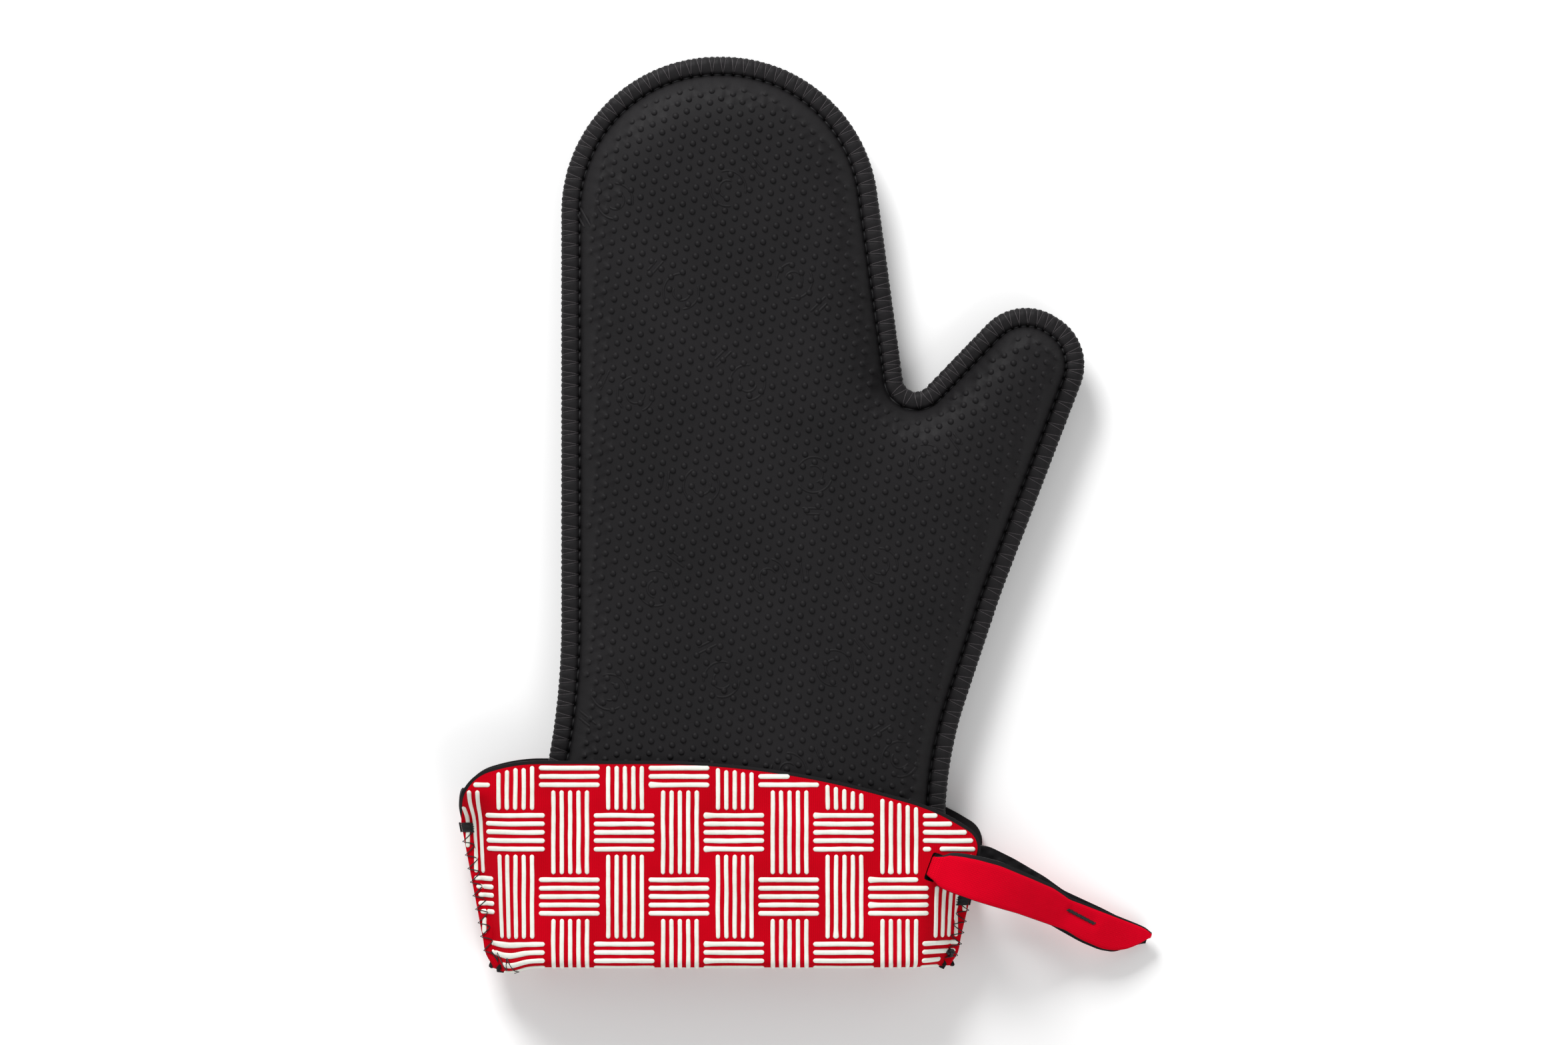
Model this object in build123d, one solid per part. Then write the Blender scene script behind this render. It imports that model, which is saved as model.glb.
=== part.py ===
from build123d import *
import math
import os

# Oven mitt lying on its back: +Z up, +Y from the cuff fold to the fingertips, thumb on +X.
# Two laminated panels (foam outside, jersey inside) are sewn edge to edge along an outside
# flange. At the wrist both panels fold outward and run back up as a cuff, jersey outside.
# All sizes are in millimetres. Until the export, Y = 0 is the cuff's fold line.

# ---------------------------------------------------------------- driving dimensions
FOAM = 2.5                 # foam layer of the laminate
JERSEY = 0.5               # knitted face of the laminate
SHEET = FOAM + JERSEY
PRINT = 0.4                # raised grip print on the cuff
THREAD = 0.35              # stitches stand this proud of the flange

SEAM_Z = 15.0              # height of the plane in which the two panels meet
PALM_TOP = 30.0            # outer face of the palm
BACK_WRIST_Z = 4.5         # outer face of the back where it runs above the back cuff flap
FOLD_GAP = 0.8             # air between a panel and the cuff flap outside it
HAND_FLANGE = 7.0          # width of the seam flange round the hand
CUFF_FLANGE = 6.0          # width of the seam flange on the cuff
FLAP_CLEARANCE = 0.3       # the hand's flange is trimmed back this far from the cuff's wall
FLANGE_FULL_Y = 60.0       # above this line the hand's flange has its full width
PALM_ROUND = 12.0          # rounding where the palm turns down to the seam
BACK_WRIST_ROUND = 9.0     # the same on the shallower back of the wrist
HAND_START_Y = 84.0        # the back drops to the table above this line
REST_Y = 180.0             # the origin's distance from the fold line

LEFT_SEAM_TOP = 54.0       # the cuff's side seams end here and its vents begin
RIGHT_SEAM_TOP = 27.0
OPEN_END_Y = -40.0         # outlines run past the fold and are cut off there
CUFF_END_Y = 100.0         # beyond the cuff's free edge
FAR_X = 250.0              # beyond both side edges
FAR_Y = 400.0              # beyond the fingertips
UNDER_Z = -10.0            # below and above everything
OVER_Z = 60.0

CUFF_LEFT = 91.0           # the cuff's side edges at the fold, from its middle
CUFF_RIGHT = 91.2
CUFF_LEFT_TOP = 108.3      # the same edges run on to CUFF_END_Y
CUFF_RIGHT_TOP = 110.8
BACK_CORNER_SHIFT = 1.4    # the back flap's thumb-side corner stands this much further out
FOLD_Y = FOLD_GAP / 2 + SHEET      # centre line of the cuff's fold

NEEDLE_INSET = 5.5         # the overlock's needle line, from the flange's edge
NEEDLE_WIDTH = 0.5
HAND_THREAD_START_Y = 40.0         # the cuff hides the hand's seam below this line
CUFF_THREAD_INSET = 5.2
LEFT_THREAD_START_Y = 6.0
RIGHT_THREAD_START_Y = 8.0
TACK_ROOM = 4.0            # the cuff's seam threads stop this far below their seam's end
TACK_SIZE = (5.0, 3.2)
TACK_CORNER = 1.2
TACK_DROP = 1.9            # middle of each tack, below its seam's end
LEFT_TACK_X = -97.2
RIGHT_TACK_X = 92.8
KNOT_RADIUS = 1.7
KNOT_INSET = 2.4
KNOT_RISE = 2.2            # above the fold's centre line

STRAP_WIDTH = 14.5
NECK_WIDTH = 10.5          # the strap is gathered where it passes the slit
STRAP_HEADING = -20.0      # degrees from +X, seen from above
STRAP_DROOP = 18.5         # degrees below level
STRAP_SPREAD = 26.0        # each leg leaves the bend this far from the loop's middle line
STRAP_BEND = 2.0           # inside radius of the bend through the slit
EYE_SHOULDER = 17.0        # widest place of the eye, measured from the bend
EYE_ROUND = 35.0
EYE_END = 52.0             # the two legs meet here
STRAP_END = 89.0
LEG_BOW = 5.5              # the hidden leg bows this far sideways, towards the fingers
LEG_BOW_PEAK = 14.0        # where it bows most, and where it is still four fifths bowed
LEG_BOW_SHOULDER = 34.0
LEG_GAP = 0.2              # air between the two legs beyond the eye
LOOP_TACK_AT = (59.2, 0.9)         # along the strap from the bend's axis, and across it
LOOP_TACK_SIZE = (12.6, 1.5)
LOOP_TACK_TURN = -8.0
SLIT_AXIS = (84.0, 37.3, PALM_TOP + FOLD_GAP + SHEET / 2)
SLIT_LENGTH = 11.1
SLIT_WIDTH = 4.3
SLIT_OFFSET = -3.15        # the slit's middle, measured along the strap from the bend's axis

# The grip print is a basket weave: blocks of level lines and blocks of upright lines.
BLOCK_STEP_X = 20.9
BLOCK_STEP_Y = 24.5
PRINT_ANCHOR = (-36.6, 51.7)       # middle of one block of level lines
LINES = 5
LINE_STEP = 3.2
LEVEL_LINE = (23.9, 1.9)
UPRIGHT_LINE = (1.75, 32.0)
COLUMNS = range(-4, 8)
ROWS = range(-3, 3)
PRINT_MARGIN = 0.8         # between the print and the cloth's edge
SLIT_MARGIN = 2.0          # between the print and the slit's ends
SMALLEST_PRINT = 1.0       # square millimetres; smaller scraps of a line are left out


# ---------------------------------------------------------------- outlines
def rounded_region(points, radii):
    """Face inside a polyline, closed from its last point to its first, with its corners rounded.

    radii holds one radius for each point but the two ends; 0 keeps a corner sharp.
    """
    corners = [Vector(*point) for point in points]
    edges = []
    here = corners[0]
    for before, corner, after, radius in zip(corners, corners[1:], corners[2:], radii):
        into = (corner - before).normalized()
        out = (after - corner).normalized()
        half_turn = math.radians(into.get_angle(out)) / 2
        if half_turn < 0.001:
            continue
        reach = radius * math.tan(half_turn)
        arc_start = corner - into * reach
        arc_end = corner + out * reach
        edges.append(Line(here, arc_start))
        if radius:
            towards_centre = (out - into).normalized()
            sagitta_point = corner + towards_centre * (radius / math.cos(half_turn) - radius)
            edges.append(ThreePointArc(arc_start, sagitta_point, arc_end))
        here = arc_end
    edges.append(Line(here, corners[-1]))
    if (corners[-1] - corners[0]).length > 0.001:
        edges.append(Line(corners[-1], corners[0]))
    return make_face(edges)


def band(low_y, high_y, low_x=-FAR_X, high_x=FAR_X):
    """Rectangular region used to cut outlines."""
    middle = ((low_x + high_x) / 2, (low_y + high_y) / 2)
    return Pos(*middle) * Rectangle(high_x - low_x, high_y - low_y)


def glove_outline():
    """Outer edge of the hand flange, from the left of the wrist round to the right."""
    points = [
        (-88.2, OPEN_END_Y), (-88.2, 9), (-61, 72), (-61, 348), (52.2, 348), (70.7, 213.1),
        (113.7, 257.6), (143.3, 238.4), (106.8, 142.8), (83.6, 72.7), (88.4, 9),
        (88.4, OPEN_END_Y),
    ]
    radii = [15, 290, 59.5, 59.5, 5.5, 20.5, 20.5, 300, 150, 40]
    return rounded_region(points, radii)


def cuff_sides():
    """Region between the cuff's two side edges, running on past its free edge."""
    points = [
        (-CUFF_LEFT, OPEN_END_Y), (-CUFF_LEFT, 8), (-CUFF_LEFT_TOP, CUFF_END_Y),
        (CUFF_RIGHT_TOP, CUFF_END_Y), (CUFF_RIGHT, 8), (CUFF_RIGHT, OPEN_END_Y),
    ]
    return rounded_region(points, [40, 0, 0, 40])


def cuff_outline(shift=0.0):
    """Plan of one cuff flap; shift moves its thumb-side corner outward."""
    points = [
        (-CUFF_LEFT, OPEN_END_Y), (-CUFF_LEFT, 8), (-103.0, 71.8), (-78.1, 79), (16.9, 79),
        (81.0 + shift, 61.6 + shift), (100.2 + shift, 50.2 + shift), (CUFF_RIGHT, 8),
        (CUFF_RIGHT, OPEN_END_Y),
    ]
    return rounded_region(points, [40, 17, 60, 330, 80, 9, 30])


def vent_region():
    """Where the flaps are no longer sewn together: above each side seam's end."""
    left = band(LEFT_SEAM_TOP, CUFF_END_Y, high_x=0)
    right = band(RIGHT_SEAM_TOP, CUFF_END_Y, low_x=0)
    return left + right


def inset(face, distance):
    return offset(face, amount=-distance)


# ---------------------------------------------------------------- shared solids
def slab(region, z_a, z_b):
    """Plate over a region, between two heights given in either order."""
    return extrude(Pos(0, 0, min(z_a, z_b)) * region, amount=abs(z_b - z_a))


def pillow(region, far_z, rounding):
    """Solid from the seam plane to far_z whose far rim is rounded, except at its open end."""
    solid = slab(region, SEAM_Z, far_z)
    rim = [
        edge for edge in solid.edges()
        if abs(edge.center().Z - far_z) < 0.01 and edge.center().Y > OPEN_END_Y + 1
    ]
    return fillet(rim, rounding)


def above_fold(solid):
    return solid & slab(band(FOLD_Y, FAR_Y), UNDER_Z, OVER_Z)


def half_fold(side, inner_radius, outer_radius):
    """Half-round fold that joins one panel to its cuff flap, open along the seam plane."""
    wall = CUFF_FLANGE + SHEET + FOLD_GAP / 2
    left = -CUFF_LEFT + wall
    right = CUFF_RIGHT - wall
    far_z = panel_face(side) + side * FOLD_GAP / 2
    path = FilletPolyline(
        (left, FOLD_Y, SEAM_Z), (left, FOLD_Y, far_z), (right, FOLD_Y, far_z),
        (right, FOLD_Y, SEAM_Z), radius=panel_round(side) + FOLD_GAP / 2,
    )
    ring = Circle(outer_radius) - Circle(inner_radius)
    profile = Pos(left, FOLD_Y, SEAM_Z) * (ring - band(0, 2 * outer_radius))
    return sweep(profile, path=path)


# ---------------------------------------------------------------- panels with their cuff flap
def panel_face(side):
    """Height of a panel's outer face at the wrist; side is 1 for the palm, -1 for the back."""
    return PALM_TOP if side > 0 else BACK_WRIST_Z


def panel_round(side):
    return PALM_ROUND if side > 0 else BACK_WRIST_ROUND


def corner_shift(side):
    return 0.0 if side > 0 else BACK_CORNER_SHIFT


def hand_inside(side, depth):
    """What one panel's hand part encloses, seen from depth below its outer face."""
    outline = inset(glove_outline(), HAND_FLANGE + depth)
    shape = pillow(outline, panel_face(side) - side * depth, panel_round(side) - depth)
    if side < 0:
        hand_only = outline & band(HAND_START_Y + depth, FAR_Y)
        shape = shape + pillow(hand_only, depth, PALM_ROUND - depth)
    if depth < SHEET:
        flap_wall = CUFF_FLANGE + SHEET + FLAP_CLEARANCE
        cuff_room = inset(cuff_sides(), flap_wall) + band(FLANGE_FULL_Y, FAR_Y)
        flange = glove_outline() & cuff_room
        shape = shape + slab(flange, SEAM_Z, SEAM_Z + side * (SHEET - depth))
    return above_fold(shape)


def flap_inside(side, depth):
    """What one cuff flap's sewn part encloses, seen from depth below its outer face."""
    outline = inset(cuff_sides(), CUFF_FLANGE + depth)
    outer_z = flap_face(side) - side * depth
    shape = pillow(outline, outer_z, panel_round(side) + FOLD_GAP + SHEET - depth)
    if depth < SHEET:
        shape = shape + slab(cuff_outline(), SEAM_Z, SEAM_Z + side * (SHEET - depth))
    return above_fold(shape)


def flap_face(side):
    """Height of a cuff flap's outer face."""
    return panel_face(side) + side * (FOLD_GAP + SHEET)


def flap_layer(side, shallow, deep):
    """One layer of a cuff flap: walled where it is sewn, level where it is free."""
    walled = flap_inside(side, shallow) - flap_inside(side, deep)
    walled = walled & slab(cuff_outline() - vent_region(), UNDER_Z, OVER_Z)
    face = flap_face(side)
    free = cuff_outline(corner_shift(side)) & vent_region()
    level = slab(free, face - side * shallow, face - side * deep)
    return walled + level


def strap_slit():
    """Slot through the front flap for the hanging strap."""
    slot = Pos(SLIT_OFFSET, 0, 0) * Box(SLIT_WIDTH, SLIT_LENGTH, 8)
    return Pos(*SLIT_AXIS) * Rot(0, 0, STRAP_HEADING) * slot


def panel(side):
    """Foam and jersey of one panel, each running round the fold into its cuff flap."""
    half_gap = FOLD_GAP / 2
    foam = (
        (hand_inside(side, 0) - hand_inside(side, FOAM))
        + half_fold(side, half_gap, half_gap + FOAM)
        + flap_layer(side, JERSEY, SHEET)
    )
    jersey = (
        (hand_inside(side, FOAM) - hand_inside(side, SHEET))
        + half_fold(side, half_gap + FOAM, half_gap + SHEET)
        + flap_layer(side, 0, JERSEY)
    )
    if side > 0:
        foam = foam - strap_slit()
        jersey = jersey - strap_slit()
    return foam, jersey


def print_lines():
    """Every line of the basket weave, before it is cut to the cuff's outline."""
    level_line = SlotOverall(*LEVEL_LINE)
    upright_line = SlotOverall(UPRIGHT_LINE[1], UPRIGHT_LINE[0], rotation=90)
    lines = []
    for column in COLUMNS:
        for row in ROWS:
            middle_x = PRINT_ANCHOR[0] + column * BLOCK_STEP_X
            middle_y = PRINT_ANCHOR[1] + row * BLOCK_STEP_Y
            for line in range(LINES):
                shift = (line - (LINES - 1) / 2) * LINE_STEP
                if (column + row) % 2 == 0:
                    lines.append(Pos(middle_x, middle_y + shift) * level_line)
                else:
                    lines.append(Pos(middle_x + shift, middle_y) * upright_line)
    return lines


def grip_print(side):
    """Raised basket-weave lines on the level part of one cuff flap."""
    shoulder = CUFF_FLANGE + panel_round(side) + FOLD_GAP + SHEET
    plan = inset(cuff_outline(corner_shift(side)), PRINT_MARGIN)
    printable = (plan & vent_region()) + (plan & inset(cuff_sides(), shoulder))
    printable = printable & band(FOLD_Y, CUFF_END_Y)
    if side > 0:
        printable = printable - Pos(*SLIT_AXIS[:2]) * Circle(SLIT_LENGTH / 2 + SLIT_MARGIN)
    cut_lines = [line & printable for line in print_lines()]
    scraps = [scrap for line in cut_lines if line for scrap in line.faces()]
    low = flap_face(side)
    high = low + side * PRINT
    solids = [slab(scrap, low, high).solid() for scrap in scraps if scrap.area > SMALLEST_PRINT]
    return Compound(solids)


# ---------------------------------------------------------------- seams
def edge_strip(outline, outer, inner):
    """Strip along an outline, from outer beyond its edge to inner inside it."""
    return offset(outline, amount=outer) - inset(outline, inner)


def hand_seam_threads():
    """Overlock round the hand: the needle's line and the two looper threads over the edge."""
    outline = glove_outline()
    seen = band(HAND_THREAD_START_Y, FAR_Y)
    wrapped = edge_strip(outline, THREAD, NEEDLE_INSET) & seen
    needle_line = edge_strip(outline, -NEEDLE_INSET, NEEDLE_INSET + NEEDLE_WIDTH) & seen
    flange_top = SEAM_Z + SHEET
    upper = slab(wrapped, SEAM_Z, flange_top + THREAD) - slab(outline, SEAM_Z, flange_top)
    flange_low = SEAM_Z - SHEET
    lower = slab(wrapped, SEAM_Z, flange_low - THREAD) - slab(outline, SEAM_Z, flange_low)
    needle = slab(needle_line, flange_top, flange_top + THREAD)
    return needle, upper, lower


def cuff_seam_thread(reach_of_seam):
    """Overlock over both faces and the edge of one cuff seam, where a band covers it."""
    outline = cuff_outline()
    strip = edge_strip(outline, THREAD, CUFF_THREAD_INSET) & reach_of_seam
    reach = SHEET + THREAD
    wrap = slab(strip, SEAM_Z - reach, SEAM_Z + reach)
    return wrap - slab(outline, SEAM_Z - SHEET, SEAM_Z + SHEET)


def cuff_bar_tack(x, seam_top):
    """Dense stitches that lock the top of a cuff seam, on both faces of its flange."""
    reach = SHEET + 2 * THREAD
    tack = Pos(x, seam_top - TACK_DROP, SEAM_Z) * Box(*TACK_SIZE, 2 * reach)
    tack = fillet(tack.edges().filter_by(Axis.Z), TACK_CORNER)
    return tack - slab(cuff_outline(), SEAM_Z - SHEET, SEAM_Z + SHEET)


def cuff_seam_knot():
    """Knotted thread end on the thumb-side seam, just above the fold."""
    flange_top = SEAM_Z + SHEET
    middle = (CUFF_RIGHT - KNOT_INSET, FOLD_Y + KNOT_RISE, flange_top + KNOT_RADIUS / 2)
    knot = Pos(*middle) * Sphere(KNOT_RADIUS)
    return knot - slab(band(OPEN_END_Y, CUFF_END_Y), SEAM_Z, flange_top)


# ---------------------------------------------------------------- hanging loop
def place_strap(solid):
    """From the strap's own frame, bend axis on Y and eye along +X, to its place on the cuff."""
    return Pos(*SLIT_AXIS) * Rot(0, 0, STRAP_HEADING) * Rot(0, STRAP_DROOP, 0) * solid


def eye_profile():
    """Side view of the open eye between the two legs, round at the bend, sharp where they meet."""
    spread = math.radians(STRAP_SPREAD)
    apex = -STRAP_BEND / math.sin(spread)
    shoulder = (EYE_SHOULDER - apex) * math.tan(spread)
    points = [(EYE_END, 0), (EYE_SHOULDER, shoulder), (apex, 0), (EYE_SHOULDER, -shoulder),
              (EYE_END, 0)]
    return rounded_region(points, [EYE_ROUND, STRAP_BEND, EYE_ROUND])


def leg_plan(bow):
    """Plan of one leg: narrow in the slit, full width beyond, bowed sideways by bow."""
    neck = NECK_WIDTH / 2
    half = STRAP_WIDTH / 2
    shoulder = 0.8 * bow
    points = [
        (-8, -neck), (1, -neck), (LEG_BOW_PEAK, bow - half),
        (LEG_BOW_SHOULDER, shoulder - half), (EYE_END, -half), (STRAP_END, -half),
        (STRAP_END, half), (EYE_END, half), (LEG_BOW_SHOULDER, shoulder + half),
        (LEG_BOW_PEAK, bow + half), (1, neck), (-8, neck),
    ]
    return rounded_region(points, [0, 8, 12, 20, 5, 3, 20, 12, 8, 0])


def strap_layer(shallow, deep):
    """One layer of the doubled strap, from shallow to deep outside the eye's surface."""
    eye = eye_profile()
    inner_eye = offset(eye, amount=shallow) if shallow else eye
    tail_middle = Pos((EYE_END + STRAP_END) / 2, 0)
    tail = tail_middle * Rectangle(STRAP_END - EYE_END, 2 * deep)
    inner_tail = tail_middle * Rectangle(STRAP_END - EYE_END + 2, max(2 * shallow, LEG_GAP))
    profile = offset(eye, amount=deep) + tail - inner_tail - inner_eye
    layer = extrude(Plane.XZ * profile, amount=2 * STRAP_WIDTH, both=True)
    upper = layer & slab(leg_plan(0), 0, OVER_Z)
    lower = layer & slab(leg_plan(LEG_BOW), -OVER_Z, 0)
    return place_strap(upper + lower)


def loop_bar_tack():
    """Lengthwise row of dense stitches through both legs, seen on both outer faces."""
    reach = SHEET + 2 * THREAD
    tack = Pos(*LOOP_TACK_AT, 0) * Rot(0, 0, LOOP_TACK_TURN) * Box(*LOOP_TACK_SIZE, 2 * reach)
    legs = slab(band(-FAR_Y, FAR_Y), -SHEET, SHEET)
    return place_strap(tack - legs)


# ---------------------------------------------------------------- export
def main():
    os.makedirs("parts", exist_ok=True)
    palm_foam, palm_jersey = panel(1)
    back_foam, back_jersey = panel(-1)
    needle, upper_looper, lower_looper = hand_seam_threads()
    left_seam = band(LEFT_THREAD_START_Y, LEFT_SEAM_TOP - TACK_ROOM, high_x=0)
    right_seam = band(RIGHT_THREAD_START_Y, RIGHT_SEAM_TOP - TACK_ROOM, low_x=0)
    pieces = {
        "palm_foam_shell": palm_foam,
        "palm_lining": palm_jersey,
        "front_cuff_grip_print": grip_print(1),
        "back_foam_shell": back_foam,
        "back_lining": back_jersey,
        "back_cuff_grip_print": grip_print(-1),
        "hand_seam_needle_thread": needle,
        "hand_seam_upper_looper_thread": upper_looper,
        "hand_seam_lower_looper_thread": lower_looper,
        "left_cuff_seam_thread": cuff_seam_thread(left_seam),
        "right_cuff_seam_thread": cuff_seam_thread(right_seam),
        "left_cuff_bar_tack": cuff_bar_tack(LEFT_TACK_X, LEFT_SEAM_TOP),
        "right_cuff_bar_tack": cuff_bar_tack(RIGHT_TACK_X, RIGHT_SEAM_TOP),
        "right_cuff_seam_knot": cuff_seam_knot(),
        "hanging_strap_foam": strap_layer(0, FOAM),
        "hanging_strap_facing": strap_layer(FOAM, SHEET),
        "hanging_strap_bar_tack": loop_bar_tack(),
    }
    to_origin = Pos(0, -REST_Y, 0)
    for name, piece in pieces.items():
        export_step(to_origin * piece, f"parts/{name}.step")


main()
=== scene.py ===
import math

import bpy
import numpy as np
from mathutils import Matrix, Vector
from mathutils.geometry import delaunay_2d_cdt


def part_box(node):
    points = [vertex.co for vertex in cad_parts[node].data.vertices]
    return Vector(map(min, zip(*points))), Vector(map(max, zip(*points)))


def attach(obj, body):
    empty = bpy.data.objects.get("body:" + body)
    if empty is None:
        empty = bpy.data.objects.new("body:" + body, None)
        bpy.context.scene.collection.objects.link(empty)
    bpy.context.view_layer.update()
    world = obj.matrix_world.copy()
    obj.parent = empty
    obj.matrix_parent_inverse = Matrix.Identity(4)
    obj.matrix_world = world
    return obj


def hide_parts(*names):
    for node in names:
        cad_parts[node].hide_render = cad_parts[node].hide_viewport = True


# Oven mitt lying on its back: red jersey cuff with a white basket-weave grip print, black
# foam-rubber hand with moulded nubs, overlocked edges and a strap loop. Sizes are in millimetres
# in the modelling frame: x across the cuff, y from the cuff's fold (0) to the fingertips, z up.
# Panels are built as (x, y, w), where w is the height above or below the seam plane.

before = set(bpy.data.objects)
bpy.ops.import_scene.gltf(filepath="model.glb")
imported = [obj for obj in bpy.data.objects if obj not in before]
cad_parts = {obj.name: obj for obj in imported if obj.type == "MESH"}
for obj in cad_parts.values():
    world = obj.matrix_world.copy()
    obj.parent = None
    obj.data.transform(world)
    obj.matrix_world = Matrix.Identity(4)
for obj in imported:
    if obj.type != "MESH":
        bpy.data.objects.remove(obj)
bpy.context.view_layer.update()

# ---------------------------------------------------------------- sizes shared with the CAD part
FOLD_ROW_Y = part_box("palm_lining")[0].y * 1000      # where y = 0 lies in the row frame
FOAM = 2.5
JERSEY = 0.5
SHEET = FOAM + JERSEY
SEAM_Z = 15.0
HAND_FLANGE = 7.0
FOLD_R = 3.4
FOLD_Y = 3.4
PALM_W = 15.0                # palm and back stand this far from the seam plane
BACK_WRIST_W = 10.5
FRONT_FLAP_W = 18.8
BACK_FLAP_W = 14.3
GLOVE_POINTS = [
    (-88.2, FOLD_Y), (-88.2, 9), (-61, 72), (-61, 348), (52.2, 348), (70.7, 213.1),
    (113.7, 257.6), (143.3, 238.4), (106.8, 142.8), (83.6, 72.7), (88.4, 9), (88.4, FOLD_Y),
]
GLOVE_RADII = [25, 290, 59.5, 59.5, 5.5, 20.5, 20.5, 300, 150, 60]
CROTCH = (72.0, 219.0)
CUFF_LEFT = 91.0
CUFF_RIGHT = 91.2
LEFT_SEAM_TOP = 54.0
RIGHT_SEAM_TOP = 27.0
BACK_CORNER_SHIFT = 1.4
FLARE_Y = 6                  # above this the cuff's sides run outward
CUFF_FLARE = 17.3 / 92       # how far out, for each millimetre up
RIGHT_FLARE = 1.12           # the right side's share of that
FLARE_SLANT = 0.983          # an inset square to a flared side, for each millimetre across

STRAP_HEADING = math.radians(-20.0)
STRAP_DROOP = math.radians(18.5)
STRAP_SPREAD = math.radians(26.0)
STRAP_BEND = 2.0
EYE_SHOULDER = 17.0
EYE_ROUND = 35.0
EYE_END = 52.0
STRAP_END = 89.0
TACK_PLACE = (59.2, 0.9)
TACK_TURN = -0.14
SLIT_AXIS = (84.0, 37.3, 32.3)
SLIT_LENGTH = 11.1
SLIT_WIDTH = 4.3
SLIT_OFFSET = -3.15

BLOCK_STEP_X = 20.9
BLOCK_STEP_Y = 24.5
PRINT_ANCHOR = (-36.6, 51.7)
LINES = 5
LINE_STEP = 3.2
LEVEL_LINE = (23.9, 1.9)
UPRIGHT_LINE = (32.0, 1.75)

# ---------------------------------------------------------------- sizes of the looks
NUB_PITCH = 4.7
NUB_TILT = math.radians(8.5)
NUB_HEIGHT = 0.75
NUB_RINGS = [(0.0, 1, 1.0), (0.62, 6, 0.95), (0.98, 8, 0.58), (1.3, 8, 0.0)]
EMBOSS_PITCH = 43.0
EMBOSS_R = 0.6
EMBOSS_SUNK = 0.34           # most of each ridge's round section lies below the surface
NUBS_ABOVE_Y = 48.0          # the cuff hides the rest
THREADS_ABOVE_Y = 40.0
HAND_HIGH = (160, 352)       # beyond the thumb and the fingertips
STITCH_PITCH = 4.5
CROTCH_PITCH = 2.9
STITCH_SPREAD = 1.15         # half the opening of each V at the edge
NEEDLE_INSET = 6.7
RIM_INSETS = [0, 0.12, 0.45, 1.0, 1.8, 2.8, 4.0, 5.0, 5.7, 6.2, 6.6, 7.0, 7.5, 8.2]
RIM_STEP = 0.7
THREAD_R = 0.14
CUFF_THREAD_R = 0.2
CUFF_THREAD_LIFT = 0.4
ZIGZAG_DROP = 2.5            # each side seam's zigzag starts this far below its top
LEFT_ZIGZAG = 5.2
RIGHT_ZIGZAG = 4.3
FOLD_ROWS = 14
# How far in from the cuff's side a point at the fold lies outside, and where it comes inside.
FOLD_OUTER_INSETS = [0, 2.8, 6, 9, 21.8]
FOLD_INNER_INSETS = [2.75, 3.2, 6, 12.8, 21.8]
THINNEST = 0.12              # the least thickness left in the fold's corners
TACK_THREAD_R = 0.28
TACK_STITCHES = 9
TACK_STEP = 0.4
PRINT_WRAP = 0.3
PRINT_SECTION = [(-1.0, 0.02), (-0.82, 0.27), (-0.4, 0.42), (0.4, 0.42), (0.82, 0.27),
                 (1.0, 0.02), (0.9, -0.2), (-0.9, -0.2)]
LINING_INSET = 1.0           # the lining ends this far inside the hand's edge
EDGE_SHOWS = 1.3             # foam seen past the jersey along the cuff's free edge
CORNER_SAG = 2.6

rng = np.random.default_rng(7)


# ---------------------------------------------------------------- small mathematics
def unit(v):
    return v / np.linalg.norm(v, axis=-1, keepdims=True)


def smooth(start, end, x):
    t = np.clip((x - start) / (end - start), 0, 1)
    return t * t * (3 - 2 * t)


def bump(x, width):
    return np.exp(-(x / width) ** 2)


def rounded_path(points, radii):
    """A polyline with its inner corners rounded, as closely spaced points."""
    points = [np.array(p, float) for p in points]
    out = [points[0]]
    for before, corner, after, radius in zip(points, points[1:], points[2:], radii):
        into = unit(corner - before)
        away = unit(after - corner)
        turn = math.atan2(into[0] * away[1] - into[1] * away[0], into @ away)
        if abs(turn) * radius < 0.01:
            out.append(corner)
            continue
        start = corner - into * radius * math.tan(abs(turn) / 2)
        centre = start + np.array([-into[1], into[0]]) * math.copysign(radius, turn)
        arm = start - centre
        for angle in np.linspace(0, turn, max(4, int(abs(turn) * radius / 0.4))):
            c = math.cos(angle)
            s = math.sin(angle)
            out.append(centre + (arm[0] * c - arm[1] * s, arm[0] * s + arm[1] * c))
    out.append(points[-1])
    return np.array(out)


def run_lengths(line):
    return np.concatenate([[0], np.cumsum(np.linalg.norm(np.diff(line, axis=0), axis=1))])


def resample(line, step):
    """The same line with evenly spaced points about step apart."""
    along = run_lengths(line)
    at = np.linspace(0, along[-1], max(2, round(along[-1] / step)) + 1)
    return np.stack([np.interp(at, along, line[:, k]) for k in range(line.shape[1])], axis=1)


def right_hand(line):
    """Unit normals on the right of the direction of travel."""
    along = unit(np.gradient(line, axis=0))
    return np.stack([along[:, 1], -along[:, 0]], axis=1)


def inside(points, loop):
    """Whether each point lies inside a closed loop."""
    result = np.zeros(len(points), bool)
    for a, b in zip(loop, np.roll(loop, -1, axis=0)):
        if a[1] == b[1]:
            continue
        crosses = (points[:, 1] < a[1]) != (points[:, 1] < b[1])
        at = a[0] + (points[:, 1] - a[1]) * (b[0] - a[0]) / (b[1] - a[1])
        result ^= crosses & (points[:, 0] < at)
    return result


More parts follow.
